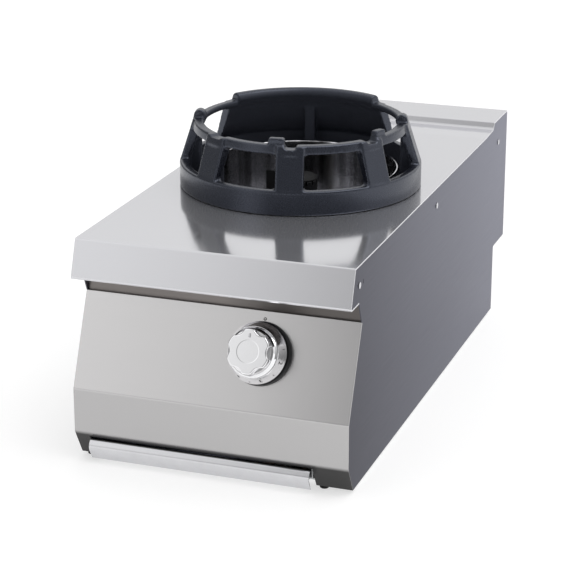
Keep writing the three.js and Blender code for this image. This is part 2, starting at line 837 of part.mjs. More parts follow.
function makeMixerParts() {
  const mouth = -mixerLength - fit;
  const cup = turned([
    [injectorRadius + 4, 0], [mixerMouth + 1.5, 0], [mixerMouth + 1.5, shutterDepth],
    [mixerMouth - 0.5, shutterDepth], [mixerMouth - 0.5, 2], [injectorRadius + 4, 2],
  ], 24);
  const windows = [45, 135, 225, 315].map((bearing) => radialPrism([
    flat(-6, -2), flat(6, -2), flat(6, 4), flat(-6, 4),
  ], bearing, injectorRadius + 7, mixerMouth - 3));
  const laid = solid(geometryOf(cut(cup, ...windows)).rotateX(-Math.PI / 2)
    .translate(0, mouth - shutterDepth, mixerHeight));
  piece('air_shutter', laid, zincSteel(), burnerGroup);

  const nozzleFoot = mouth - shutterDepth - 2;
  const nozzle = join(
    rod(injectorRadius + 2.5, vec(0, nozzleFoot - 4, mixerHeight),
      vec(0, nozzleFoot - fit, mixerHeight), 6),
    rod(injectorRadius, vec(0, nozzleFoot - 1, mixerHeight),
      vec(0, nozzleFoot - 4 + injectorLength, mixerHeight), 16),
  );
  piece('injector', nozzle, brass(), burnerGroup);
  const holderFront = nozzleFoot - 4 - fit;
  piece('injector_holder', rod(holderRadius, vec(0, holderFront - holderLength, mixerHeight),
    vec(0, holderFront, mixerHeight), 20), brass(), burnerGroup);
  return vec(0, ringCentre + holderFront - holderLength - fit, mixerHeight);
}

function makePilot() {
  const pilotTop = worktopHeight + pilotTopAbove;
  const pilotAt = (z) => bearingPoint(pilotBearing, pilotOffset, z);
  const thermoAt = (z) => bearingPoint(thermoBearing, pilotOffset, z);
  const hood = join(
    rod(pilotRadius, pilotAt(pilotFoot), pilotAt(pilotTop - 8), 16),
    rod(pilotRadius + 1.5, pilotAt(pilotTop - 9), pilotAt(pilotTop), 16),
  );
  const flameGap = rod(2, pilotAt(pilotTop - 4),
    pilotAt(pilotTop - 4).add(bearingPoint(pilotBearing + 180, 12, 0)), 12);
  piece('pilot_burner', cut(hood, flameGap), brass(), burnerGroup);
  piece('thermocouple', join(
    rod(thermoRadius, thermoAt(pilotFoot), thermoAt(pilotTop - 10), 16),
    rod(thermoRadius - 1, thermoAt(pilotTop - 11), thermoAt(pilotTop + 2), 12),
  ), zincSteel(), burnerGroup);

  const clipTop = clipBase + clipHeight;
  const band = turned([
    [columnRadius + fit, clipBase], [columnRadius + fit + clipWall, clipBase],
    [columnRadius + fit + clipWall, clipTop], [columnRadius + fit, clipTop],
  ], 24);
  const ears = [[pilotBearing, pilotRadius], [thermoBearing, thermoRadius]].map(([bearing, radius]) => {
    const foot = bearingPoint(bearing, pilotOffset, clipBase);
    const head = bearingPoint(bearing, pilotOffset, clipTop);
    const arm = radialPrism([
      flat(-5, clipBase), flat(5, clipBase), flat(5, clipTop), flat(-5, clipTop),
    ], bearing + 90, columnRadius + fit + 1, pilotOffset);
    const hole = rod(radius + fit, foot.clone().setZ(clipBase - 5), head.clone().setZ(clipTop + 5), 10);
    return { solid: join(arm, rod(radius + 3, foot, head, 12)), hole };
  });
  const shield = block(vec(shieldLeft, shieldFront, clipBase),
    vec(shieldRight, shieldFront + shieldSheet, worktopHeight + shieldTopAbove));
  const sole = block(vec(shieldLeft, shieldFront + 0.4, clipBase + 0.4),
    vec(shieldRight, shieldFront + shieldFoot, clipTop - 0.4));
  piece('pilot_bracket', cut(join(band, shield, sole, ...ears.map((ear) => ear.solid)),
    ...ears.map((ear) => ear.hole)), darkSteel(), burnerGroup);
}

// ---------------------------------------------------------------- control

const control = new THREE.Group();
control.position.copy(controlFoot);
control.rotation.x = panelLean;
body.add(control);

function makeKnob() {
  piece('knob_bezel', turned([
    [bezelBore, fit], [bezelRadius, fit], [bezelRadius + 0.5, 2], [bezelRadius - 1, bezelHeight - 0.6],
    [bezelRadius - 2.5, bezelHeight], [bezelRadius - 5, bezelHeight], [bezelRadius - 7, 4], [bezelBore, 4],
  ], 30), blackPlastic(), control);

  const seat = skirtFront - skirtWall;
  piece('knob_skirt', turned([
    [skirtRadius - skirtWall, skirtLift], [skirtRadius, skirtLift], [skirtRadius, skirtLift + 2],
    [skirtTopRadius, skirtFront], [gripRadius + 0.5, skirtFront], [gripRadius + 0.5, seat],
    [skirtTopRadius - skirtWall * 0.6, seat], [skirtRadius - skirtWall, skirtLift + 2],
  ], 32), chrome(), control);

  const outline = [];
  const stepsPerLobe = 6;
  for (let i = 0; i < gripLobes * stepsPerLobe; i += 1) {
    const a = i / (gripLobes * stepsPerLobe) * 2 * Math.PI;
    const toNotch = Math.abs((a / (2 * Math.PI) * gripLobes) % 1 - 0.5) * 2 * Math.PI / gripLobes;
    const away = gripRadius * Math.sin(toNotch);
    const chord = Math.sqrt(Math.max(scallopRadius ** 2 - away ** 2, 0));
    const bite = chord - (scallopRadius - scallopDepth);
    const r = gripRadius - Math.max(bite, 0);
    outline.push(flat(r * Math.cos(a), r * Math.sin(a)));
  }
  const bevel = 1.6;
  const gripFoot = skirtFront + fit + gripFlange - 0.5;
  const column = solid(new THREE.ExtrudeGeometry(new THREE.Shape(outline), {
    depth: gripFront - bevel - gripFoot, bevelEnabled: true, bevelThickness: bevel, bevelSize: bevel,
    bevelOffset: -bevel, bevelSegments: 1,
  }).translate(0, 0, gripFoot));
  const flange = turned([
    [0, skirtFront + fit], [gripFlangeRadius, skirtFront + fit],
    [gripFlangeRadius, skirtFront + fit + gripFlange * 0.6],
    [gripFlangeRadius - 1, skirtFront + fit + gripFlange], [0, skirtFront + fit + gripFlange],
  ], 32);
  const spigot = rod(gripRadius - 0.5, vec(0, 0, seat - 3), vec(0, 0, skirtFront + fit + 0.5), 24);
  const hub = rod(hubRadius, vec(0, 0, hubLift), vec(0, 0, seat), 24);
  const bore = rod(spindleRadius + fit, vec(0, 0, hubLift - 2), vec(0, 0, spindleOuter + fit), 20);
  const disc = rod(gripDiscRadius, vec(0, 0, gripFront - gripDiscDepth), vec(0, 0, gripFront + 2), 24);
  piece('knob_grip', cut(join(column, flange, spigot, hub), bore, disc), chrome(), control);

  piece('index_dot', turned([
    [0, fit], [indexRadius, fit], [indexRadius, fit + 0.3], [indexRadius * 0.5, fit + 0.8], [0, fit + 0.9],
  ], 16), blackPlastic(), control).position.set(0, indexUp, 0);
}

function makeTap() {
  piece('tap_spindle', rod(spindleRadius, vec(0, 0, spindleInner), vec(0, 0, spindleOuter), 20),
    brass(), control);
  const collarTop = tapFace - 1.5;
  const collarFoot = collarTop - collarHeight;
  piece('push_collar', turned([
    [spindleRadius + fit, collarFoot], [tapBore - 0.8, collarFoot],
    [tapBore - 0.8, collarTop], [spindleRadius + fit, collarTop],
  ], 24), zincSteel(), control);

  const springTop = collarFoot - fit - springWire / 2;
  const springFoot = tapFace - tapBoreDepth + fit + springWire / 2;
  const steps = 7;
  const coil = Array.from({ length: springTurns * steps + 1 }, (_, i) => {
    const a = i / steps * 2 * Math.PI;
    return vec(springTurnRadius * Math.cos(a), springTurnRadius * Math.sin(a),
      springTop + (springFoot - springTop) * i / (springTurns * steps));
  });
  piece('tap_spring', tube(coil, springWire / 2, 4), zincSteel(), control);

  const tail = tapFace - tapLength;
  const neck = rod(tapRadius, vec(0, 0, tapFace), vec(0, 0, tapFace - 30), 20);
  const barrel = rod(tapRadius - 2, vec(0, 0, tapFace - 28), vec(0, 0, tail), 16);
  const bossEnd = tapRadius + bossLength;
  const inlet = rod(bossRadius, vec(0, 0, tapFace - inletBossBack),
    vec(bossEnd, 0, tapFace - inletBossBack), 20);
  const pilotBoss = rod(smallBossRadius, vec(pilotBossSide, 0, tapFace - pilotBossBack),
    vec(pilotBossSide, bossEnd, tapFace - pilotBossBack), 14);
  const leadBoss = rod(smallBossRadius, vec(leadBossSide, 0, tapFace - leadBossBack),
    vec(leadBossSide, bossEnd, tapFace - leadBossBack), 14);
  const bore = rod(tapBore, vec(0, 0, tapFace + 1), vec(0, 0, tapFace - tapBoreDepth), 24);
  const step = rod(tapRadius - 4, vec(0, 0, tail - 6), vec(0, 0, tail + 1), 6);
  piece('gas_tap', cut(join(neck, barrel, inlet, pilotBoss, leadBoss, step), bore), brass(), control);

  const plate = block(vec(-bracketWidth / 2, -bracketHeight / 2, -panelSheet - fit - bracketSheet),
    vec(bracketWidth / 2, bracketHeight / 2, -panelSheet - fit));
  const hole = rod(tapBore, vec(0, 0, -10), vec(0, 0, 0), 24);
  piece('tap_bracket', cut(plate, hole), zincSteel(), control);
  return tail - 6;
}

// ---------------------------------------------------------------- gas lines

function makeLines(holderEnd, tapEnd) {
  const feedStart = controlPoint(0, 0, tapEnd - fit);
  piece('feed_pipe', bentPipe([
    feedStart,
    controlPoint(0, 0, tapEnd - feedRun),
    vec(0, holderEnd.y - 40, holderEnd.z),
    holderEnd,
  ], feedRadius, 16, 10), copper());

  const supplyStart = controlPoint(tapRadius + bossLength + fit, 0, tapFace - inletBossBack);
  const inletEnd = lowerDepth - inletInner - fit;
  piece('supply_pipe', bentPipe([
    supplyStart,
    vec(supplySide, supplyStart.y, supplyStart.z),
    vec(supplySide, supplyStart.y, supplyHeight),
    vec(supplySide, inletEnd, supplyHeight),
  ], supplyRadius, 22, 10), zincSteel());

  const thread = rod(inletRadius, vec(supplySide, lowerDepth - inletInner, supplyHeight),
    vec(supplySide, lowerDepth + inletReach, supplyHeight), 22);
  const hex = rod(inletHex, vec(supplySide, lowerDepth + fit, supplyHeight),
    vec(supplySide, lowerDepth + fit + inletHexDepth, supplyHeight), 6);
  const bore = rod(inletBore, vec(supplySide, lowerDepth, supplyHeight),
    vec(supplySide, lowerDepth + inletReach + 5, supplyHeight), 12);
  piece('inlet_connector', cut(join(thread, hex), bore), brass());

  const saddle = saddleAt - saddleWidth / 2;
  const ring = cut(
    rod(supplyRadius + fit + saddleWall, vec(supplySide, saddle, supplyHeight),
      vec(supplySide, saddle + saddleWidth, supplyHeight), 24),
    rod(supplyRadius + fit, vec(supplySide, saddle - 5, supplyHeight),
      vec(supplySide, saddle + saddleWidth + 5, supplyHeight), 24),
  );
  const arm = block(vec(supplySide + supplyRadius + 1, saddle, supplyHeight - 2),
    vec(sideInner - fit, saddle + saddleWidth, supplyHeight + 2));
  piece('pipe_saddle', join(ring, arm), zincSteel());

  const pilotEnd = bearingPoint(pilotBearing, pilotOffset, pilotFoot - fit).setY(
    ringCentre + pilotOffset * Math.sin(pilotBearing * degree));
  const pilotLine = mixerTop + pilotLineRise;
  piece('pilot_pipe', bentPipe([
    controlPoint(pilotBossSide, tapRadius + bossLength + fit, tapFace - pilotBossBack),
    controlPoint(pilotBossSide, tapRadius + bossLength + 22, tapFace - pilotBossBack),
    vec(knobSide + pilotBossSide, pilotEnd.y - pilotLineTurn, pilotLine),
    vec(pilotEnd.x, pilotEnd.y - pilotLineTurn, pilotLine),
    vec(pilotEnd.x, pilotEnd.y, pilotLine),
    pilotEnd,
  ], pilotPipeRadius, 8, 8), copper());

  const thermoEnd = bearingPoint(thermoBearing, pilotOffset, pilotFoot - fit).setY(
    ringCentre + pilotOffset * Math.sin(thermoBearing * degree));
  const leadLine = mixerTop + leadLineRise;
  piece('thermocouple_lead', bentPipe([
    controlPoint(leadBossSide, tapRadius + bossLength + fit, tapFace - leadBossBack),
    controlPoint(leadBossSide, tapRadius + bossLength + 16, tapFace - leadBossBack),
    vec(knobSide + 2 * leadBossSide, thermoEnd.y - leadLineTurn, leadLine),
    vec(thermoEnd.x, thermoEnd.y, leadLine),
    thermoEnd,
  ], leadRadius, 8, 8), copper());
}

// ---------------------------------------------------------------- tray, rails and feet

function makeTray() {
  const left = trayCentre - trayWidth / 2;
  const right = trayCentre + trayWidth / 2;
  const floor = railSheet + fit;
  const outer = block(vec(left, trayFront, floor), vec(right, trayFront + trayDepth, floor + trayHeight));
  const inner = block(vec(left + traySheet, trayFront + traySheet, floor + traySheet),
    vec(right - traySheet, trayFront + trayDepth - traySheet, floor + trayHeight + 5));
  piece('drip_tray', cut(outer, inner), brushedSteel());

  const middle = handleTop - handleRoll;
  const line = [flat(handleBack + handleReturn, handleTop)];
  for (let i = 0; i <= 10; i += 1) {
    const a = (90 + i * 18) * degree;
    line.push(flat(handleBack + handleRoll * Math.cos(a), middle + handleRoll * Math.sin(a)));
  }
  line.push(flat(handleBack, 0));
  const sheet = acrossX(strip(line.reverse(), traySheet),
    trayCentre - handleWidth / 2, trayCentre + handleWidth / 2);
  piece('tray_handle', sheet, chrome());
}

function makeRails() {
  const start = undercut + baseFlange + fit;
  const end = lowerDepth - panelSheet - fit;
  for (const [word, side] of [['left', -1], ['right', 1]]) {
    const web = trayCentre + side * (trayWidth / 2 + railSide);
    const wall = side * (sideInner - fit);
    const at = (x, z) => flat(x, z);
    const s = side * railSheet;
    const outline = [
      at(web - side * railLedge, 0), at(wall, 0), at(wall, railFlange), at(wall - s, railFlange),
      at(wall - s, railSheet), at(web + s, railSheet), at(web + s, railHeight),
      at(web - side * railLedge, railHeight), at(web - side * railLedge, railHeight - railSheet),
      at(web, railHeight - railSheet), at(web, railSheet), at(web - side * railLedge, railSheet),
    ];
    const geometry = new THREE.ExtrudeGeometry(new THREE.Shape(outline), {
      depth: end - start, bevelEnabled: false,
    });
    geometry.rotateX(Math.PI / 2).translate(0, end, 0);
    piece(`base_rail_${word}`, solid(geometry), zincSteel());
  }
}

function makeFeet() {
  const foot = turned([
    [0, -footDrop], [footRadius - 1, -footDrop], [footRadius, -footDrop + 1],
    [footRadius, -footDrop + 2.5], [footNeck, -footDrop + 3.2], [footNeck, -fit], [0, -fit],
  ], 14);
  for (const [row, y] of [['front', footFront], ['rear', footRear]]) {
    for (const [word, x] of [['left', footLeft], ['right', footRight]]) {
      piece(`foot_${row}_${word}`, foot, rubber()).position.set(x, y, 0);
    }
  }
}

// ---------------------------------------------------------------- assembly

makeWorktop();
makeFrontPanel();
makeCrossmember();
makeBackPanel();
makeSides();
makeRing();
makeWell();
makeBurner();
makeCrossbar();
const holderEnd = makeMixerParts();
makePilot();
makeKnob();
const tapEnd = makeTap();
makeLines(holderEnd, tapEnd);
makeTray();
makeRails();
makeFeet();

// The origin at the bottom centre of everything drawn.
const reach = new THREE.Box3().setFromObject(body, true);
body.position.set(-(reach.min.x + reach.max.x) / 2, -(reach.min.y + reach.max.y) / 2, -reach.min.z);

export default range;
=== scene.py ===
import math
import bmesh
import bpy
import numpy as np
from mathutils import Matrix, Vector


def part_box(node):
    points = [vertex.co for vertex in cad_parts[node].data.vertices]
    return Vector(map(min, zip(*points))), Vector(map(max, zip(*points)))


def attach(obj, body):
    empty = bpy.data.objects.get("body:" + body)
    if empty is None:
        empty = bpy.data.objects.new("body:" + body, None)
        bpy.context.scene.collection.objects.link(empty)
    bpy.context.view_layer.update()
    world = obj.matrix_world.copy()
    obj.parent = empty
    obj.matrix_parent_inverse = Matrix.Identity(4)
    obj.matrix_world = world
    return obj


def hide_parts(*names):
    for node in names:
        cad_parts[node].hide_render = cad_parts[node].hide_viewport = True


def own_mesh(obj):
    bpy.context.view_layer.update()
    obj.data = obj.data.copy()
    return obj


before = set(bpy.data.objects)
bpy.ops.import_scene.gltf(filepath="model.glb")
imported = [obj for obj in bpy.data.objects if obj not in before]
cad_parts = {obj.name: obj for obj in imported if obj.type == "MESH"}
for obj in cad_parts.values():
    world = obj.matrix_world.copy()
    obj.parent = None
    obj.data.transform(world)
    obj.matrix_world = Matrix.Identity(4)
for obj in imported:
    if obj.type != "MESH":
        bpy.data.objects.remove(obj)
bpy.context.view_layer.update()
scene = bpy.context.scene

# Pieces are worked out in millimetres from the front band, the base and the middle of the
# range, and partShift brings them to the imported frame.
layout = {
    "rear": 860.0,          # front band to the rear wall
    "ringAxis": 383,        # front band to the upright axis that ring, well and burner share
    "seat": 315.3,          # underside of the ring and of the well's flange
}
partShift = np.array([0.0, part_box("back_panel")[1].y * 1000 - layout["rear"],
                      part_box("side_panel_right")[0].z * 1000])
axisY = (layout["ringAxis"] + partShift[1]) * 0.001

meshing = {
    "merge": 1e-6,          # corners closer than this, in metres, become one
    "sharp": 35,            # folds past this many degrees stay crisp
}


def gridFaces(nu, nv, closed, start):
    # quads between neighbouring rows, each row closed, and the last joined to the first if closed
    uu, vv = np.meshgrid(np.arange(nu if closed else nu - 1), np.arange(nv), indexing="ij")
    u2, v2 = (uu + 1) % nu, (vv + 1) % nv
    quads = np.stack([uu * nv + vv, u2 * nv + vv, u2 * nv + v2, uu * nv + v2], axis=-1)
    return (quads.reshape(-1, 4) + start).tolist()


def ringed(points):
    # a grid that closes on itself both ways
    return {"points": points, "closed": True}


def capped(points):
    # a grid of closed rows whose first and last rows each become one face
    return {"points": points, "closed": False}


def surface(x, y, z):
    # three arrays of coordinates, spread over one grid of points
    return np.stack(np.broadcast_arrays(x, y, z), axis=-1)


def placed(origin, turn=0.0):
    # a frame at a point, turned by degrees about the vertical
    c, s = math.cos(math.radians(turn)), math.sin(math.radians(turn))
    return {"axes": np.array([[c, s, 0], [-s, c, 0], [0, 0, 1]]), "origin": np.array(origin, float)}


def toFrame(points, where):
    # millimetres in a piece's own frame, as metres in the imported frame
    return (points @ where["axes"] + where["origin"] + partShift) * 0.001


def closeMesh(mesh):
    # merges doubled corners and turns every face outwards
    work = bmesh.new()
    work.from_mesh(mesh)
    bmesh.ops.remove_doubles(work, verts=work.verts, dist=meshing["merge"])
    bmesh.ops.recalc_face_normals(work, faces=work.faces)
    work.to_mesh(mesh)
    work.free()


def addObject(name, data):
    thing = bpy.data.objects.new(name, data)
    scene.collection.objects.link(thing)
    return thing


def addPiece(name, mesh, material, body):
    closeMesh(mesh)
    mesh.materials.clear()
    mesh.materials.append(material)
    piece = addObject(name, mesh)
    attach(piece, body)
    return piece


def buildPiece(name, grids, material, body, where):
    # joins grids into one smooth mesh with crisp folds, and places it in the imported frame
    corners, faces, start = [], [], 0
    for grid in grids:
        nu, nv, _ = grid["points"].shape
        faces += gridFaces(nu, nv, grid["closed"], start)
        if not grid["closed"]:
            faces.append(list(range(start, start + nv)))
            faces.append(list(range(start + (nu - 1) * nv, start + nu * nv))[::-1])
        corners.append(grid["points"].reshape(-1, 3))
        start += nu * nv
    mesh = bpy.data.meshes.new(name)
    mesh.from_pydata(toFrame(np.concatenate(corners), where).tolist(), [], faces)
    piece = addPiece(name, mesh, material, body)
    mesh.polygons.foreach_set("use_smooth", np.ones(len(mesh.polygons), bool))
    mesh.set_sharp_from_angle(angle=math.radians(meshing["sharp"]))
    mesh.update()
    return piece


def rounded(corners, radii, steps=5):
    # a closed outline whose corners are replaced by arcs, as one array of points
    pts = np.asarray(corners, float)
    radii = np.broadcast_to(np.asarray(radii, float), len(pts))
    out = []
    for p, before, after, r in zip(pts, np.roll(pts, 1, 0), np.roll(pts, -1, 0), radii):
        if r <= 0:
            out.append(p[None])
            continue
        a = (before - p) / np.linalg.norm(before - p)
        b = (after - p) / np.linalg.norm(after - p)
        half = math.acos(np.clip(a @ b, -1, 1)) / 2
        mid = (a + b) / np.linalg.norm(a + b)
        centre = p + mid * r / math.sin(half)
        t = np.linspace(0, 1, steps + 1)[:, None]
        start = p + a * r / math.tan(half) - centre
        end = p + b * r / math.tan(half) - centre
        angle = math.acos(np.clip(start @ end / r ** 2, -1, 1))
        arc = (np.sin((1 - t) * angle) * start + np.sin(t * angle) * end) / max(math.sin(angle), 1e-9)
        out.append(centre + arc)
    return np.concatenate(out)


def revolved(outline, sides):
    # radius and height of the outline carried round the third axis
    a = np.linspace(0, 2 * np.pi, sides, endpoint=False)[:, None]
    r, z = outline[:, 0][None], outline[:, 1][None]
    return surface(r * np.cos(a), r * np.sin(a), z)


def smoothStep(x, low, high):
    t = np.clip((x - low) / (high - low), 0, 1)
    return t * t * (3 - 2 * t)


class Nodes:
    # a short way to add and link the nodes of a material or a world

    def __init__(self, owner):
        owner.use_nodes = True
        self.owner = owner
        self.tree = owner.node_tree

    def add(self, kind, **values):
        # a name that is no option of the node is one of its sockets, with _ for a space
        node = self.tree.nodes.new(kind)
        for key, value in values.items():
            if hasattr(node, key):
                setattr(node, key, value)
            else:
                self.fill(node.inputs[key.replace("_", " ")], value)
        return node

    def fill(self, socket, value):
        # a socket takes a link from another socket, or else a constant
        if hasattr(value, "node"):
            self.tree.links.new(value, socket)
        else:
            socket.default_value = value

    def place(self, scale=(1, 1, 1), shift=(0, 0, 0)):
        where = self.add("ShaderNodeTexCoord")
        return self.add("ShaderNodeMapping", Vector=where.outputs["Object"], Scale=scale,
                        Location=shift).outputs["Vector"]

    def parts(self, vector=None):
        return self.add("ShaderNodeSeparateXYZ", Vector=vector or self.place()).outputs

    def noise(self, scale, detail, squeeze=(1, 1, 1)):
        return self.add("ShaderNodeTexNoise", Scale=scale, Detail=detail,
                        Vector=self.place(squeeze)).outputs["Fac"]

    def ramp(self, source, low, high, fromLow=0.0, fromHigh=1.0, kind="LINEAR"):
        return self.add("ShaderNodeMapRange", interpolation_type=kind, Value=source, From_Min=fromLow,
                        From_Max=fromHigh, To_Min=low, To_Max=high).outputs["Result"]

    def combine(self, operation, *terms):
        node = self.add("ShaderNodeMath", operation=operation)
        for socket, term in zip(node.inputs, terms):
            self.fill(socket, term)
        return node.outputs["Value"]

    def mix(self, source, low, high):
        # a colour between two, by a value from 0 to 1
        node = self.add("ShaderNodeMix", data_type="RGBA")
        ends = [socket for socket in node.inputs if socket.type == "RGBA"]
        for socket, colour in zip(ends, (low, high)):
            socket.default_value = (*colour, 1)
        self.fill(node.inputs[0], source)
        return [socket for socket in node.outputs if socket.type == "RGBA"][0]

    def fade(self, tone, axis, fromLow, fromHigh, low, high, above=None):
        # painted shade and light: a colour dimmed or brightened by its place along one axis, or only above
        # a height where one is given
        parts = self.parts()
        if above is not None:
            high = self.ramp(parts["Z"], low, high, *above)
        share = self.ramp(parts[axis], low, high, fromLow, fromHigh)
        scale = self.add("ShaderNodeVectorMath", operation="SCALE", Scale=share)
        self.fill(scale.inputs[0], tone)
        return scale.outputs["Vector"]

    def relief(self, source, distance, strength):
        return self.add("ShaderNodeBump", Distance=distance, Strength=strength,
                        Height=source).outputs["Normal"]

    def shade(self, **values):
        # fills the surface's own sockets and gives the finished material
        shader = self.tree.nodes["Principled BSDF"]
        for key, value in values.items():
            self.fill(shader.inputs[key.replace("_", " ")], value)
        return self.owner


def newMaterial(name):
    return Nodes(bpy.data.materials.new(name))


steel = {
    "alongX": (0.012, 1, 1),        # noise squeezed along an axis draws scratches along it
    "alongY": (1, 0.012, 1),
    "paintedShadeUnderBand": (0.040, 0.046),     # heights in metres of the soft steps of painted shade at the front's folds
    "bandTop": (0.106, 0.110),
    "rough": (0.3, 0.7),            # part of the noise that the roughness follows
}


def brushedSteel(name, grain, light=(0.70, 0.70, 0.71), dark=(0.62, 0.62, 0.635), rough=(0.3, 0.4),
                 depth=0.00002, paintedShading=(), metal=1.0, edge=(1, 1, 1)):
    # long fine scratches along one axis, with a slow cloud of tone over them, and painted shade and light
    # by place where given
    n = newMaterial(name)
    streaks = n.noise(900, 2, grain)
    tone = n.mix(n.noise(2.5, 2), dark, light)
    for fade in paintedShading:
        tone = n.fade(tone, *fade)
    return n.shade(Base_Color=tone, Roughness=n.ramp(streaks, *rough, *steel["rough"]), Metallic=metal,
                   Specular_Tint=(*edge, 1), Normal=n.relief(streaks, depth, 0.35))


worktopSteel = brushedSteel("worktopSteel", steel["alongY"], light=(0.69, 0.69, 0.715),
                            dark=(0.65, 0.65, 0.675), rough=(0.10, 0.13), depth=0.000003, metal=0.84)
frontSteel = brushedSteel("frontSteel", steel["alongX"], light=(0.69, 0.68, 0.68),
                          dark=(0.65, 0.64, 0.645), rough=(0.23, 0.25), depth=0.000003,
                          paintedShading=[("Z", *steel["paintedShadeUnderBand"], 0.125, 1.0),         # painted shade on the fold under the band
                                 ("Z", *steel["bandTop"], 0.69, 1.0),           # painted shade on the band
                                 ("X", 0.06, 0.2, 1.0, 0.82, steel["bandTop"])])    # painted shade on the panel's right, above the band
# side panels: a dark base colour standing in for shade, with painted shade at the front and painted light
# towards the rear and higher up
sideSteelPaintedShade = brushedSteel("sideSteelPaintedShade", steel["alongY"], light=(0.135, 0.137, 0.162),
                         dark=(0.121, 0.123, 0.145), rough=(0.28, 0.33), depth=0.000004,
                         paintedShading=[("Y", -0.4, 0.4, 0.65, 1.9), ("Z", 0.12, 0.3, 1.0, 1.14)],
                         edge=(0.64, 0.64, 0.66))
backSteel = brushedSteel("backSteel", steel["alongX"])
# crossmember under the lip: a dark base colour standing in for the recess's shade, with more painted shade
# towards the right
recessSteelPaintedShade = brushedSteel("recessSteelPaintedShade", steel["alongX"], light=(0.21, 0.195, 0.185),
                           dark=(0.17, 0.155, 0.15), paintedShading=[("X", 0.0, 0.06, 1.0, 0.6)])


def wellLining():
    # bright rolled sheet with painted reflections: streaks of colour from dark to light that depend on the
    # angle about the well's upright axis alone, partly the sheet's own grain
    n = newMaterial("wellSteel")
    parts = n.parts()
    angle = n.combine("ARCTAN2", n.combine("SUBTRACT", parts["Y"], axisY), parts["X"])
    streaks = n.add("ShaderNodeTexNoise", noise_dimensions="1D", Scale=5.0, Detail=4.0, W=angle)
    tone = n.ramp(streaks.outputs["Fac"], 0.0, 1.0, 0.35, 0.65)
    return n.shade(Base_Color=n.mix(tone, (0.22, 0.22, 0.23), (0.8, 0.8, 0.83)), Metallic=1.0,
                   Roughness=n.ramp(n.noise(300, 2), 0.12, 0.2, *steel["rough"]),
                   Normal=n.relief(n.noise(500, 2), 0.000006, 0.3))


wellSteel = wellLining()
print("steel materials ready")


def zincPlate():
    # spangled dull grey
    n = newMaterial("zincPlate")
    spangle = n.add("ShaderNodeTexVoronoi", Scale=160.0, Vector=n.place()).outputs["Distance"]
    return n.shade(Base_Color=n.mix(spangle, (0.5, 0.51, 0.52), (0.66, 0.67, 0.68)),
                   Roughness=n.ramp(spangle, 0.38, 0.55), Metallic=1.0,
                   Normal=n.relief(n.noise(700, 3), 0.00002, 0.3))


def polishedChrome(name, low, high, rough):
    # a mirror with a faint haze
    n = newMaterial(name)
    haze = n.noise(60, 4)
    return n.shade(Base_Color=n.mix(haze, low, high), Metallic=1.0,
                   Roughness=n.ramp(haze, *rough, *steel["rough"]),
                   Normal=n.relief(n.noise(220, 2), 0.000008, 0.3))


enamel = {
    "lean": 1 / 3,                  # the flame side is where radius plus this share of the height
    "flameSide": (0.2830, 0.2850),  # falls short of these metres
    "soot": 0.34,                   # roughness that the soot adds there
}


def enamelledIron():
    # blue-black semi-gloss enamel over a sand casting, dulled by soot on the side of the flame
    n = newMaterial("enamelledIron")
    sand = n.noise(520, 4)
    radius = n.add("ShaderNodeVectorMath", operation="LENGTH")
    n.fill(radius.inputs[0], n.place((1, 1, 0), (0, -axisY, 0)))
    lean = n.combine("MULTIPLY_ADD", n.parts()["Z"], enamel["lean"], radius.outputs["Value"])
    soot = n.ramp(lean, enamel["soot"], 0.0, *enamel["flameSide"])
    return n.shade(Base_Color=n.mix(n.noise(14, 3), (0.0026, 0.0032, 0.0062), (0.0044, 0.0054, 0.0100)),
                   Roughness=n.combine("ADD", n.ramp(sand, 0.24, 0.34, *steel["rough"]), soot),
                   Specular_IOR_Level=1.0, Specular_Tint=(0.76, 0.82, 1.0, 1),
                   Normal=n.relief(sand, 0.00003, 0.3))


def burnerIron():
    # rough sooty casting, its colour darkened past the iron's own as painted shade
    n = newMaterial("burnerIron")
    sand = n.noise(420, 4)
    return n.shade(Base_Color=n.mix(sand, (0.004, 0.004, 0.005), (0.011, 0.011, 0.012)),
                   Roughness=n.ramp(sand, 0.5, 0.7), Specular_IOR_Level=0.18,
                   Normal=n.relief(sand, 0.0002, 0.5))


def blackPlastic():
    # fine moulded grain
    n = newMaterial("blackPlastic")
    grain = n.noise(900, 3)
    return n.shade(Base_Color=n.mix(grain, (0.008, 0.008, 0.009), (0.016, 0.016, 0.018)),
                   Roughness=n.ramp(grain, 0.28, 0.4), Specular_IOR_Level=0.25,
                   Normal=n.relief(grain, 0.00003, 0.4))


def lightEnamel():
    # smooth off-white
    n = newMaterial("whiteEnamel")
    mottle = n.noise(800, 2)
    return n.shade(Base_Color=n.mix(mottle, (0.82, 0.82, 0.80), (0.9, 0.9, 0.88)),
                   Roughness=n.ramp(mottle, 0.2, 0.3), Normal=n.relief(mottle, 0.00001, 0.3))


def softMetal(name, low, high):
    # turned or drawn metal with a slow tarnish
    n = newMaterial(name)
    tarnish = n.noise(45, 4)
    return n.shade(Base_Color=n.mix(tarnish, low, high), Roughness=n.ramp(tarnish, 0.25, 0.42),
                   Metallic=1.0, Normal=n.relief(n.noise(600, 2), 0.00002, 0.3))


def footRubber():
    # dull black with a coarse grain
    n = newMaterial("footRubber")
    grain = n.noise(500, 3)
    return n.shade(Base_Color=n.mix(grain, (0.015, 0.015, 0.015), (0.03, 0.03, 0.03)),
                   Roughness=n.ramp(grain, 0.7, 0.9), Normal=n.relief(grain, 0.00005, 0.5))


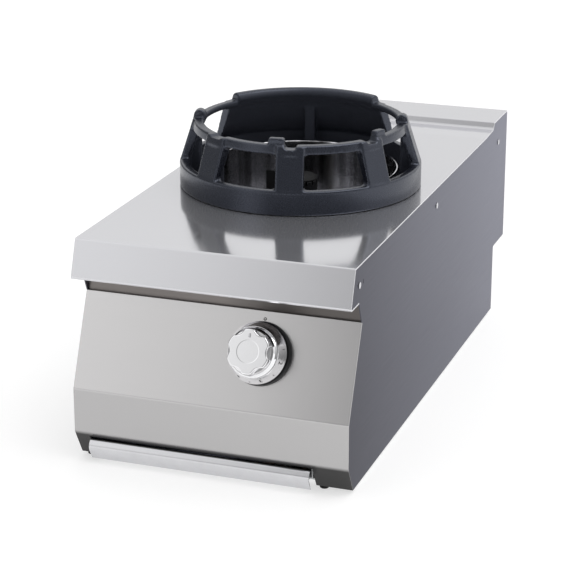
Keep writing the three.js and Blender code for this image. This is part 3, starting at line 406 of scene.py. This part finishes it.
zinc = zincPlate()
chrome = polishedChrome("polishedChrome", (0.84, 0.84, 0.86), (0.91, 0.91, 0.92), (0.05, 0.11))
barChrome = polishedChrome("barChrome", (0.6, 0.6, 0.62), (0.68, 0.68, 0.7), (0.1, 0.16))
ringEnamel = enamelledIron()
blackIron = burnerIron()
bezelBlack = blackPlastic()
whiteEnamel = lightEnamel()
brass = softMetal("brass", (0.56, 0.42, 0.18), (0.72, 0.58, 0.30))
agedBrass = softMetal("agedBrass", (0.05, 0.04, 0.03), (0.10, 0.08, 0.055))
copper = softMetal("copper", (0.55, 0.27, 0.16), (0.72, 0.42, 0.28))
plugSteel = softMetal("plugSteel", (0.55, 0.55, 0.57), (0.7, 0.7, 0.72))
rubber = footRubber()

nodeFinish = {
    "worktop": worktopSteel, "front_panel": frontSteel, "front_crossmember": recessSteelPaintedShade,
    "back_panel": backSteel, "drip_tray": backSteel,
    "side_panel_left": sideSteelPaintedShade, "side_panel_right": sideSteelPaintedShade,
    "wok_ring": ringEnamel, "burner_well": wellSteel, "well_floor": wellSteel,
    "burner_body": blackIron, "burner_head": blackIron, "burner_cap": blackIron,
    "pilot_bracket": blackIron, "pilot_burner": agedBrass, "thermocouple": agedBrass,
    "knob_bezel": bezelBlack, "index_dot": bezelBlack,
    "knob_skirt": chrome, "knob_grip": chrome, "tray_handle": barChrome,
    "injector": brass, "injector_holder": brass, "tap_spindle": brass, "gas_tap": brass,
    "inlet_connector": brass,
    "feed_pipe": copper, "pilot_pipe": copper, "thermocouple_lead": copper,
    "burner_crossbar": zinc, "air_shutter": zinc, "push_collar": zinc, "tap_spring": zinc,
    "tap_bracket": zinc, "supply_pipe": zinc, "pipe_saddle": zinc,
    "base_rail_left": zinc, "base_rail_right": zinc,
}
for nodeName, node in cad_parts.items():
    finish = nodeFinish.get(nodeName) or (rubber if nodeName.startswith("foot") else plugSteel)
    node.data.materials.clear()
    node.data.materials.append(finish)
print("solids finished")


# Bearings are in degrees from the ring's own front; heights start at its foot.
ring = {
    "turn": 13.6,                   # the whole ring, about the vertical
    "footRadius": 178.7, "bandHeight": 36, "bandWall": 13,
    "topRadius": 158.5, "top": 96, "slopeStart": 33,
    "rimInner": 142.8, "rimOuter": 155.8, "rimBottom": 83, "rimInnerFoot": 88,
    "posts": (-90, -45, 0, 45, 90), "postWidth": 40, "postFoot": 30, "proud": 5, "flare": 5,
    "inner": ((30, 166.1), (36, 165.7), (83, 146), (96, 143.4)),     # height and inner radius
    "beadRadius": 9.2, "beadPitch": 149, "beadHeight": 98, "beadHalf": 45.4, "lugHalf": 3.27,
    "rearBearing": 181.7, "rearHalf": 51, "rearTop": 92,
    "ribs": (-90, -45, 0, 45, 90, 180), "ribHalf": 8, "ribFoot": 6, "ribTop": 91,
    "ribInner": 147.5, "ribOuter": 172, "ribTopOuter": 152,
    "nubs": ((-7.6, 11.5), (53.1, 10)), "nubFoot": 86, "nubTop": 105.8, "nubCorner": 3,
    "dips": ((0.2, 7.6, 91), (45.3, 8.4, 91), (-44.8, 10.5, 93)),    # bearing, half width, floor
    "dipRadius": 151, "crownStep": 0.3, "dipStep": 0.4,      # soft steps in degrees either way
    "beadEase": 1.1, "beadCuts": (2.2, 0.8),    # length of the rounded ends, and radius lost there
    "sides": 360, "voxel": 0.00175, "soften": 2, "softenShare": 0.5,
}


def ringOuter(z):
    # outer radius of the leaning posts and wall, straight between its foot and the top
    return ring["footRadius"] + (ring["topRadius"] - ring["footRadius"]) * (
        (z - ring["slopeStart"]) / (ring["top"] - ring["slopeStart"]))


def ringInner(z):
    # inner radius, straight between the heights that are given
    heights, radii = zip(*ring["inner"])
    return np.interp(z, heights, radii)


def insideBand(z):
    # outer radius, kept just inside the foot band where the slope would pass it
    return np.minimum(ringOuter(z), ring["footRadius"] - 1)


def aroundFront(r, bearing, z):
    # a point at a radius, height and bearing
    b = np.radians(bearing)
    return surface(r * np.sin(b), -r * np.cos(b), z)


def squareOn(across, along, z, bearing):
    # a point across and along the straight line that leaves the axis at a bearing
    c, s = math.cos(math.radians(bearing)), math.sin(math.radians(bearing))
    return surface(across * c + along * s, across * s - along * c, z)


def within(b, centre, half, soft):
    # 1 inside a stretch of bearings and 0 outside it, with a soft step at either end
    away = np.abs((b - centre + 180) % 360 - 180)
    return 1 - smoothStep(away, half - soft, half + soft)


def ringBand():
    # the foot band: a rounded upright rectangle carried round the axis
    inner, outer, top = ring["footRadius"] - ring["bandWall"], ring["footRadius"], ring["bandHeight"]
    outline = rounded([(inner, 0), (outer, 0), (outer, top), (inner, top)], (1, 1, 2.6, 2))
    return ringed(revolved(outline, ring["sides"]))


def ringCrown():
    # a bar carried round the axis, its outer radius leaning in as it rises; the radius steps out
    # at posts and rear wall by a soft step of the bearing, and low places step its top down
    b = np.linspace(-180, 180, ring["sides"] * 3, endpoint=False)[:, None]
    postHalf = np.degrees(ring["postWidth"] / 2 / ring["topRadius"])
    stretches = [(bearing, postHalf) for bearing in ring["posts"]]
    stretches.append((ring["rearBearing"], ring["rearHalf"]))
    proud = np.clip(sum(within(b, centre, half, ring["crownStep"]) for centre, half in stretches), 0, 1)
    top = np.full_like(b, ring["top"])
    for centre, half, floor in ring["dips"]:
        wide = np.degrees(half / ring["dipRadius"])
        top = top + (floor - ring["top"]) * within(b, centre, wide, ring["dipStep"])
    foot, innerFoot, inner = ring["rimBottom"], ring["rimInnerFoot"], ring["rimInner"]

    def outerAt(z):
        plain = ring["topRadius"] + (ring["rimOuter"] - ring["topRadius"]) * (
            (z - foot) / (ring["top"] - foot))
        return plain + (ringOuter(z) - plain) * proud

    t = np.linspace(0, 1, 7)[None, :-1]
    side = foot + (top - foot) * t
    legs = [(inner + (outerAt(foot) - inner) * t, innerFoot + (foot - innerFoot) * t),
            (outerAt(side), side),
            (outerAt(top) + (inner - outerAt(top)) * t, top),
            (inner, top + (innerFoot - top) * t)]
    legs = [np.broadcast_arrays(r, z, side)[:2] for r, z in legs]
    r, z = (np.concatenate(leg, axis=1) for leg in zip(*legs))
    return ringed(aroundFront(r, b, z))


def ringPost(bearing, inset, flare):
    # a leaning slab: half width plus a quarter-round flare near the band and the rim, where its
    # rows lie closer together
    band, rim = ring["bandHeight"], ring["rimBottom"]
    z = np.concatenate([np.linspace(ring["postFoot"], band, 3), np.linspace(band + 0.6, band + 6, 9),
                        np.linspace(band + 14, rim - 13, 5), np.linspace(rim - 6.5, rim, 9),
                        [ring["rimInnerFoot"]]])[:, None]
    spread = 0
    if flare:
        low = np.clip((band + flare - z) / flare, 0, 1)
        high = np.clip((z - rim + flare) / flare, 0, 1)
        spread = flare * (2 - np.sqrt(1 - low ** 2) - np.sqrt(1 - high ** 2))
    section = rounded([(-1, -1), (1, -1), (1, 1), (-1, 1)], 0.1, 3)[None]
    outer, inner = insideBand(z) - inset, ringInner(z)
    across = section[..., 0] * (ring["postWidth"] / 2 + spread)
    radius = (outer + inner) / 2 + section[..., 1] * (outer - inner) / 2
    return capped(squareOn(across, np.sqrt(radius ** 2 - across ** 2), z, bearing))


def ringRearWall():
    # the closed stretch: inner and outer slope between two bearings
    z = np.linspace(ring["postFoot"], ring["rearTop"], 12)[None]
    r = np.concatenate([insideBand(z), ringInner(z)[:, ::-1]], axis=1)
    half = ring["rearHalf"]
    b = np.linspace(ring["rearBearing"] - half, ring["rearBearing"] + half, 100)[:, None]
    return capped(aroundFront(r, b, np.concatenate([z, z[:, ::-1]], axis=1)))


def ringRib(bearing):
    # a radius and height outline carried straight across a bearing, half its width either way
    near, far, top, half = ring["ribInner"], ring["ribOuter"], ring["ribTop"], ring["ribHalf"]
    outline = rounded([(near, ring["ribFoot"]), (far, ring["ribFoot"]), (far, ring["slopeStart"]),
                       (ring["ribTopOuter"], top), (near, top)], (2, 0, 0, 0, 2), 3)
    across = np.linspace(-half, half, max(int(half), 4))[:, None]
    return capped(squareOn(across, outline[:, 0][None], outline[:, 1][None], bearing))


def ringRest(bearing, half):
    # a raised rest: a square-on outline with round shoulders, carried outwards
    foot, top, corner = ring["nubFoot"], ring["nubTop"], ring["nubCorner"]
    outline = rounded([(-half, foot), (half, foot), (half, top), (-half, top)], (0, 0, corner, corner), 4)
    r = np.linspace(ring["rimInner"] + 1, ring["rimOuter"] - 1, 6)[:, None]
    return capped(squareOn(outline[:, 0][None], r, outline[:, 1][None], bearing))


def ringBead(centre, half):
    # a round bar bent about the axis, its end faces a little smaller than its section
    b = np.linspace(centre - half, centre + half, max(int(half * 2), 12))
    ends = np.degrees(ring["beadEase"] / ring["beadPitch"]) * np.array([0, 0.4, 1])
    b = np.sort(np.concatenate([b[0] + ends, b[1:-1], b[-1] - ends]))[:, None]
    a = np.linspace(0, 2 * np.pi, 28, endpoint=False)[None]
    size = np.full_like(b, ring["beadRadius"])
    for row, cut in enumerate(ring["beadCuts"]):
        size[[row, -1 - row]] -= cut
    r = ring["beadPitch"] + size * np.cos(a)
    return capped(aroundFront(r, b, ring["beadHeight"] + size * np.sin(a)))


def makeRing():
    # band, crown, wall, posts, ribs, rests and beads fused by voxels and softened as a casting is
    grids = [ringBand(), ringCrown(), ringRearWall()]
    for bearing in ring["posts"]:
        grids += [ringPost(bearing, 0, 0), ringPost(bearing, ring["proud"], ring["flare"])]
    grids += [ringRib(bearing) for bearing in ring["ribs"]]
    grids += [ringRest(bearing, half) for bearing, half in ring["nubs"]]
    grids.append(ringBead(ring["rearBearing"], ring["beadHalf"]))
    grids += [ringBead(bearing, ring["lugHalf"]) for bearing in (ring["posts"][0], ring["posts"][-1])]
    piece = buildPiece("ringCasting", grids, ringEnamel, "ring",
                       placed((0, layout["ringAxis"], layout["seat"]), ring["turn"]))
    fuse = piece.modifiers.new("fuse", "REMESH")
    fuse.mode = "VOXEL"
    fuse.voxel_size = ring["voxel"]
    fuse.use_smooth_shade = True
    soften = piece.modifiers.new("soften", "SMOOTH")
    soften.factor = ring["softenShare"]
    soften.iterations = ring["soften"]
    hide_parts("wok_ring")


makeRing()
print("ring made")


wellFrame = placed((0, layout["ringAxis"], 0))
well = {
    "radius": 142, "sheet": 1.5, "floor": 235, "rimTop": 340,
    "roll": 2.6, "rollFoot": 4, "rollStart": 3.2,       # how far the rim's roll reaches out and down
    "flange": 22.5, "hole": 22.6, "collar": 5, "sides": 160,
}


def makeWell():
    # one rounded outline carried round the axis: collar, floor, wall, rolled rim, flange
    r, t, roll = well["radius"], well["sheet"], well["radius"] + well["roll"]
    top, floor, base = well["rimTop"], well["floor"], layout["seat"]
    far, hole, collar = r + well["flange"], well["hole"], floor + well["collar"]
    outline = rounded([
        (hole, floor), (r, floor), (r, base), (far, base), (far, base + t), (r, base + t),
        (r, top - well["rollFoot"]), (roll, top - well["rollStart"]), (roll, top), (r - t, top),
        (r - t, floor + t), (hole + t, floor + t), (hole + t, collar), (hole, collar),
    ], (0.3, 0.8, 0.5, 0.4, 0.4, 0.8, 0.8, 0.8, 1.5, 2.0, 1.2, 1.0, 0.5, 0.5), 6)
    piece = buildPiece("spillWell", [ringed(revolved(outline, well["sides"]))], wellSteel, "casing",
                       wellFrame)
    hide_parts("burner_well", "well_floor")


cap = {"foot": 320.6, "radius": 25.5, "height": 8, "plug": 17.5, "plugDepth": 6, "bore": 0.01,
       "sides": 96}


def makeCap():
    # a domed disc with a plug that drops into the burner head, carried round the axis
    foot, r, plug, bore = cap["foot"], cap["radius"], cap["plug"], cap["bore"]
    outline = rounded([
        (bore, foot - cap["plugDepth"]), (plug - 1, foot - cap["plugDepth"]), (plug, foot),
        (r - 0.5, foot), (r, foot + 2), (r - 4, foot + 5), (r - 14, foot + 7), (bore, foot + cap["height"]),
    ], (0, 0.6, 0.5, 0.4, 0.8, 2, 4, 0), 5)
    piece = buildPiece("crownCap", [ringed(revolved(outline, cap["sides"]))], blackIron, "cap",
                       wellFrame)
    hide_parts("burner_cap")


makeWell()
makeCap()
print("well and cap made")


panel = {"setback": 54, "rise": 127, "foot": 103}      # the slanted front that carries the knob
panelUp = np.array([0, panel["setback"], panel["rise"]]) / math.hypot(panel["setback"], panel["rise"])
panelOut = np.array([0, -panelUp[2], panelUp[1]])

# Heights of the knob's parts are measured out from the panel, along the knob's own axis.
knob = {
    "side": 65, "up": 80.5, "gap": 0.3,
    "bezel": 43.5, "bezelHeight": 7, "bezelFloor": 4, "bezelBore": 13,
    "skirt": 42, "skirtRear": 15, "skirtFront": 33, "skirtTop": 35.2, "skirtWall": 2, "skirtRim": 2,
    "skirtBore": 31,
    "flange": 34.4, "flangeThick": 2.2, "flare": 11,        # the flare rises inside the grip
    "grip": 30.5, "face": 54.2, "faceRim": 1.8, "lobes": 6,
    "biteRadius": 12, "bite": 4.2, "biteAt": 3, "biteSoft": 0.6,    # biteAt is one scallop, in degrees
    "disc": 15.5, "discSink": 0.07, "round": (0.5, 0.9),    # shares of the face where it turns round
    "hub": 9, "hubBore": 4.4, "hubFoot": 12,
    "numbers": (("1", 40), ("2", -14), ("3", -70), ("4", -118)),    # degrees from the right, upwards
    "numberSize": 10, "numberDepth": 0.12, "numberLift": 0.08,
    "ticks": (13, -42, -94, 68), "tick": (0.4, 1.2, 4.6),   # half width, start and end down the slope
    "pointer": (3.2, 6.0, 21.6),        # width, length and place of the mark on the top lobe
    "bezelSides": 128, "skirtSides": 160, "gripSides": 288, "flangeSides": 144, "hubSides": 48,
}
knobFrame = {
    "axes": np.stack([[1.0, 0, 0], panelUp, panelOut]),
    "origin": np.array([knob["side"], 0, panel["foot"]]) + panelUp * knob["up"],
}


def makeBezel():
    # a shallow dish with a raised lip, carried round the knob's axis
    b, high, floor, bore = knob["bezel"], knob["bezelHeight"], knob["bezelFloor"], knob["bezelBore"]
    outline = rounded([(bore, knob["gap"]), (b, knob["gap"]), (b + 0.5, 2), (b - 1, high), (b - 5, high),
                       (b - 8, floor), (bore, floor)], (0, 0.2, 0.8, 1.6, 1.5, 1.2, 0.5), 4)
    piece = buildPiece("panelBezel", [ringed(revolved(outline, knob["bezelSides"]))], bezelBlack,
                       "casing", knobFrame)
    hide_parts("knob_bezel")


def makeSkirt():
    # a thin cone with an upright rim and a plate across its front, carried round the knob's axis
    s, top, wall = knob["skirt"], knob["skirtTop"], knob["skirtWall"]
    front, rear = knob["skirtFront"], knob["skirtRear"]
    edge = rear + knob["skirtRim"]
    outline = rounded([
        (s - wall, rear), (s, rear), (s, edge), (top, front), (top - 0.7, front),
        (top - 0.9, front - 1.3), (knob["skirtBore"], front - 1.3), (knob["skirtBore"], front - 2.4),
        (top - 1.4, front - 2.4), (s - wall, edge),
    ], (0.5, 0.7, 0.8, 0.25, 0.2, 0.2, 0.3, 0.3, 1, 1), 4)
    piece = buildPiece("numberSkirt", [ringed(revolved(outline, knob["skirtSides"]))], chrome, "knob",
                       knobFrame)
    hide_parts("knob_skirt")


def smoothMax(x, soft):
    # the larger of x and 0 with a rounded corner
    return (x + np.sqrt(x ** 2 + soft ** 2)) / 2


def gripOutline(a):
    # radius at an angle: a circle bitten by round scallops, one between each two lobes
    pitch = 2 * np.pi / knob["lobes"]
    toBite = pitch / 2 - np.abs(((a - math.radians(knob["biteAt"])) / pitch) % 1 - 0.5) * pitch
    away = knob["grip"] * np.sin(toBite)
    depth = np.sqrt(np.clip(knob["biteRadius"] ** 2 - away ** 2, 0, None)) - (
        knob["biteRadius"] - knob["bite"])
    return knob["grip"] - smoothMax(depth, knob["biteSoft"])


def makeGrip():
    # the scalloped outline carried up the grip, rounded over its rim, then drawn in to the middle
    # of the face, where it becomes a circle and steps down to a disc
    a = np.linspace(0, 2 * np.pi, knob["gripSides"], endpoint=False)
    r = gripOutline(a)
    face, rim, flange = knob["face"], knob["faceRim"], knob["flange"]
    front = knob["skirtFront"] + knob["gap"]
    foot = front + knob["flangeThick"] - 0.4
    over = np.linspace(0, np.pi / 2, 7)
    height = np.concatenate([[foot], np.linspace(foot + 2, face - rim - 1, 6),
                             face - rim + rim * np.sin(over)])[:, None]
    inset = np.concatenate([np.zeros(7), rim * (1 - np.cos(over))])[:, None]
    wall = surface((r - inset) * np.cos(a), (r - inset) * np.sin(a), height)

    edge = knob["disc"] / knob["grip"]
    share = np.concatenate([[0.985, 0.96, 0.86, 0.7], edge + np.array([0.05, 0.02, 0.008]),
                            edge - np.array([0.008, 0.02, 0.05]), [0.3, 0.02]])[:, None]
    blend = smoothStep(share, *knob["round"])
    radius = ((r - rim) * blend + knob["grip"] * (1 - blend)) * share
    depth = np.where(share < edge, knob["discSink"], 0)
    inner = surface(radius * np.cos(a), radius * np.sin(a), face - depth)

    # the flange with its flare and the hub behind it are outlines carried round the knob's axis
    top = front + knob["flare"]
    plate = rounded([(0.01, front), (flange, front), (flange, front + 0.9), (flange - 2.1, front + 2.6),
                     (flange - 4, front + 6), (flange - 5, top), (0.01, top)],
                    (0, 0.3, 0.4, 1.5, 3, 0.3, 0), 4)
    hub = rounded([(knob["hubBore"], knob["hubFoot"]), (knob["hub"], knob["hubFoot"]),
                   (knob["hub"], front + 1), (knob["hubBore"], front + 1)], 0.2, 2)
    grids = [capped(np.concatenate([wall, inner])), ringed(revolved(plate, knob["flangeSides"])),
             ringed(revolved(hub, knob["hubSides"]))]
    piece = buildPiece("lobedGrip", grids, chrome, "knob", knobFrame)
    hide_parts("knob_grip")


def onSkirt(points, bearing):
    # flat points (across, outwards, lift) laid on the cone at a bearing; across follows the
    # circle clockwise, outwards runs down the slope to the rear
    s, top = knob["skirt"], knob["skirtTop"]
    front, rear = knob["skirtFront"], knob["skirtRear"] + knob["skirtRim"]
    length = math.hypot(s - top, front - rear)
    slope, rise = (s - top) / length, (front - rear) / length
    across, outwards, lift = np.moveaxis(points, -1, 0)
    r = (s + top) / 2 + outwards * slope + lift * rise
    h = (front + rear) / 2 - outwards * rise + lift * slope
    angle = math.radians(bearing) - across / r
    return surface(r * np.cos(angle), r * np.sin(angle), h)


def makeNumber(text, bearing):
    # a figure made a mesh, then laid on the cone
    data = bpy.data.curves.new("number" + text, "FONT")
    data.body, data.size, data.extrude = text, knob["numberSize"], knob["numberDepth"]
    data.align_x = data.align_y = "CENTER"
    words = addObject("number" + text, data)
    bpy.context.view_layer.update()
    mesh = bpy.data.meshes.new_from_object(words.evaluated_get(bpy.context.evaluated_depsgraph_get()))
    bpy.data.objects.remove(words)
    flat = np.zeros(len(mesh.vertices) * 3)
    mesh.vertices.foreach_get("co", flat)
    raised = flat.reshape(-1, 3) + np.array([0, 0, knob["numberLift"]])
    mesh.vertices.foreach_set("co", toFrame(onSkirt(raised, bearing), knobFrame).ravel())
    addPiece("skirtNumber" + text, mesh, bezelBlack, "knob")


def makeTicks():
    # short bars laid on the cone between the numbers
    half, start, end = knob["tick"]
    across = np.array([-half, half, half, -half])
    outwards = np.array([start, start, end, end])
    bars = surface(across, outwards, np.array([-0.05, 0.2])[:, None])
    buildPiece("skirtTicks", [capped(onSkirt(bars, bearing)) for bearing in knob["ticks"]], bezelBlack,
               "knob", knobFrame)


def makePointer():
    # a rounded rectangle raised a little from the face, on the top lobe
    wide, long, middle = knob["pointer"]
    x, y = wide / 2, long / 2
    outline = rounded([(-x, -y), (x, -y), (x, y), (-x, y)], 1.2, 5)
    height = knob["face"] + np.array([-0.3, 0.05, 0.12])[:, None]
    size = np.array([1, 1, 0.9])[:, None]
    points = surface(outline[:, 0] * size, outline[:, 1] * size + middle, height)
    buildPiece("gripPointer", [capped(points)], plugSteel, "knob", knobFrame)


spring = {"rear": -27.0, "front": -9.7, "radius": 7.4, "wire": 0.8, "turns": 4, "push": 4,
          "steps": 40, "sides": 12}         # steps along each turn and sides of the wire


def makeSpring():
    # a round wire wound evenly about the knob's axis; in the real knob it shortens as the knob is pushed
    t = np.linspace(0, 1, spring["turns"] * spring["steps"] + 1)[:, None]
    turn = 2 * np.pi * spring["turns"] * t
    around = np.linspace(0, 2 * np.pi, spring["sides"], endpoint=False)[None]
    r = spring["radius"] + spring["wire"] * np.cos(around)
    h = spring["front"] + (spring["rear"] - spring["front"]) * t + spring["wire"] * np.sin(around)
    piece = buildPiece("returnSpring", [capped(surface(r * np.cos(turn), r * np.sin(turn), h))], zinc,
                       "casing", knobFrame)
    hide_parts("tap_spring")
    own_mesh(piece)


makeSpring()
makeBezel()
makeSkirt()
makeGrip()
for numberText, numberBearing in knob["numbers"]:
    makeNumber(numberText, numberBearing)
makeTicks()
makePointer()
print("knob made")


indexMark = {"up": 47, "dome": 1.6, "proud": 0.9, "ring": 2.25, "ringProud": 0.35, "sides": 32}


def makeIndexMark():
    # a light quarter-round dome in a dark ring, above the knob
    where = {"axes": knobFrame["axes"], "origin": knobFrame["origin"] + panelUp * indexMark["up"]}
    d, r, high = indexMark["dome"], indexMark["ring"], indexMark["ringProud"]
    over = np.linspace(0, np.pi / 2 - 0.02, 8)
    arc = np.stack([d * np.cos(over), indexMark["proud"] * np.sin(over)], axis=1)
    dome = revolved(np.concatenate([[(d, -0.5)], arc]), indexMark["sides"]).transpose(1, 0, 2)
    piece = buildPiece("indexDome", [capped(dome)], whiteEnamel, "casing", where)
    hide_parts("index_dot")
    rim = rounded([(d + 0.1, -0.3), (r, -0.3), (r, high), (d + 0.1, high)], (0, 0, 0.2, 0.1), 3)
    buildPiece("indexRing", [ringed(revolved(rim, indexMark["sides"]))], bezelBlack, "casing",
               where)


makeIndexMark()


bar = {
    "left": -177, "right": 146, "back": 6, "top": 30.5, "roll": 11, "lip": 7, "sheet": 1.2,
    "rollEnd": 208,         # degrees at which the roll runs out into the straight skirt
    "foot": 0.4, "footReach": 1.5,
}


def makeTrayBar():
    # a sheet rolled over the top and run straight down and back to its foot, carried along the front
    back, middle = bar["back"], bar["top"] - bar["roll"]
    a = np.radians(np.linspace(90, bar["rollEnd"], 28))

    def sheetLine(radius, foot):
        roll = np.stack([back + radius * np.cos(a), middle + radius * np.sin(a)], axis=1)
        return np.concatenate([[(back + bar["lip"], middle + radius)], roll, [(foot, bar["foot"])]])

    section = np.concatenate([sheetLine(bar["roll"], back - bar["footReach"]),
                              sheetLine(bar["roll"] - bar["sheet"], back - 0.1)[::-1]])
    x = np.linspace(bar["left"], bar["right"], 60)[:, None]
    piece = buildPiece("trayBar", [capped(surface(x, section[:, 0], section[:, 1]))], barChrome, "tray",
                       placed((0, 0, 0)))
    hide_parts("tray_handle")


makeTrayBar()
print("index mark and tray bar made")


studio = {
    "floor": (0.45, 0.45, 0.45), "floorRough": 0.8, "floorSize": 40.0,
    "glow": 0.62,                           # the table is lit from below
    "horizon": 0.75, "sky": 1.0, "skyEdge": (0.0, 0.5),     # brightness near the ground and above it
    "frontLeft": 1.15, "frontRight": 0.33,  # share of that in front, towards left and right
    "frontEdge": (-0.42, -0.19), "frontDepth": (-0.5, 0.1),
    "farLeft": 0.35, "farEdge": (-0.8, -0.52),
    "box": 1.5, "boxPlace": (0.45, -0.10, 0.887), "boxEdge": (0.85, 0.96),     # broad light high up
    "lamp": (1.3, -0.3, 2.4), "lampAim": (0, 0, 0.2), "lampSize": 1.6, "lampPower": 3,
}


def makeFloor():
    mesh = bpy.data.meshes.new("floor")
    h = studio["floorSize"] / 2
    mesh.from_pydata([(-h, -h, 0), (h, -h, 0), (h, h, 0), (-h, h, 0)], [], [(0, 1, 2, 3)])
    mesh.materials.append(newMaterial("floorPaint").shade(
        Base_Color=(*studio["floor"], 1), Roughness=studio["floorRough"],
        Emission_Color=(1, 1, 1, 1), Emission_Strength=studio["glow"]))
    addObject("floor", mesh)


def makeWorld():
    # a soft sky, in front brighter at the left than at the right, with one broad light high up
    world = bpy.data.worlds.new("studio")
    n = Nodes(world)
    where = n.add("ShaderNodeTexCoord").outputs["Generated"]
    parts = n.parts(where)
    soft = "SMOOTHSTEP"
    rise = n.ramp(parts["Z"], studio["horizon"], studio["sky"], *studio["skyEdge"], soft)
    across = n.ramp(parts["X"], studio["frontLeft"], studio["frontRight"], *studio["frontEdge"], soft)
    front = n.ramp(parts["Y"], across, 1.0, *studio["frontDepth"], soft)
    left = n.ramp(parts["X"], studio["farLeft"], 1.0, *studio["farEdge"], soft)
    towards = n.add("ShaderNodeVectorMath", operation="DOT_PRODUCT")
    n.fill(towards.inputs[0], where)
    n.fill(towards.inputs[1], studio["boxPlace"])
    box = n.ramp(towards.outputs["Value"], 0.0, studio["box"], *studio["boxEdge"], soft)
    sky = n.combine("MULTIPLY", rise, n.combine("MULTIPLY", front, left))
    back = n.tree.nodes["Background"]
    n.fill(back.inputs["Color"], (1, 1, 1, 1))
    n.fill(back.inputs["Strength"], n.combine("ADD", sky, box))
    scene.world = world


def makeLamp():
    light = bpy.data.lights.new("topSoft", "AREA")
    light.size = studio["lampSize"]
    light.energy = studio["lampPower"]
    lamp = addObject("topSoft", light)
    lamp.location = studio["lamp"]
    aim = Vector(studio["lampAim"]) - Vector(studio["lamp"])
    lamp.rotation_euler = aim.to_track_quat("-Z", "Y").to_euler()


view = {
    "azimuth": 19.38, "elevation": 19.30, "distance": 3027.6,
    "aim": (0, 350, 130), "right": -7.69, "up": 26.3,       # the aim, then steps across the picture
    "focal": 2014.1, "picture": 576,                        # both in pixels
    "sensor": 36, "clipEnd": 50,
}


def makeCamera():
    az, el = math.radians(view["azimuth"]), math.radians(view["elevation"])
    back = Vector((math.sin(az) * math.cos(el), -math.cos(az) * math.cos(el), math.sin(el)))
    right = Vector((math.cos(az), math.sin(az), 0))
    up = back.cross(right)
    target = Vector(view["aim"]) + right * view["right"] + up * view["up"] + Vector(partShift)
    data = bpy.data.cameras.new("camera")
    data.sensor_width = view["sensor"]
    data.lens = view["focal"] / view["picture"] * view["sensor"]
    data.clip_end = view["clipEnd"]
    camera = addObject("camera", data)
    camera.location = (target + back * view["distance"]) * 0.001
    camera.rotation_mode = "QUATERNION"
    camera.rotation_quaternion = (-back).to_track_quat("-Z", "Y")
    scene.camera = camera


makeFloor()
makeWorld()
makeLamp()
makeCamera()
scene.view_settings.view_transform = "Standard"
print("studio made")
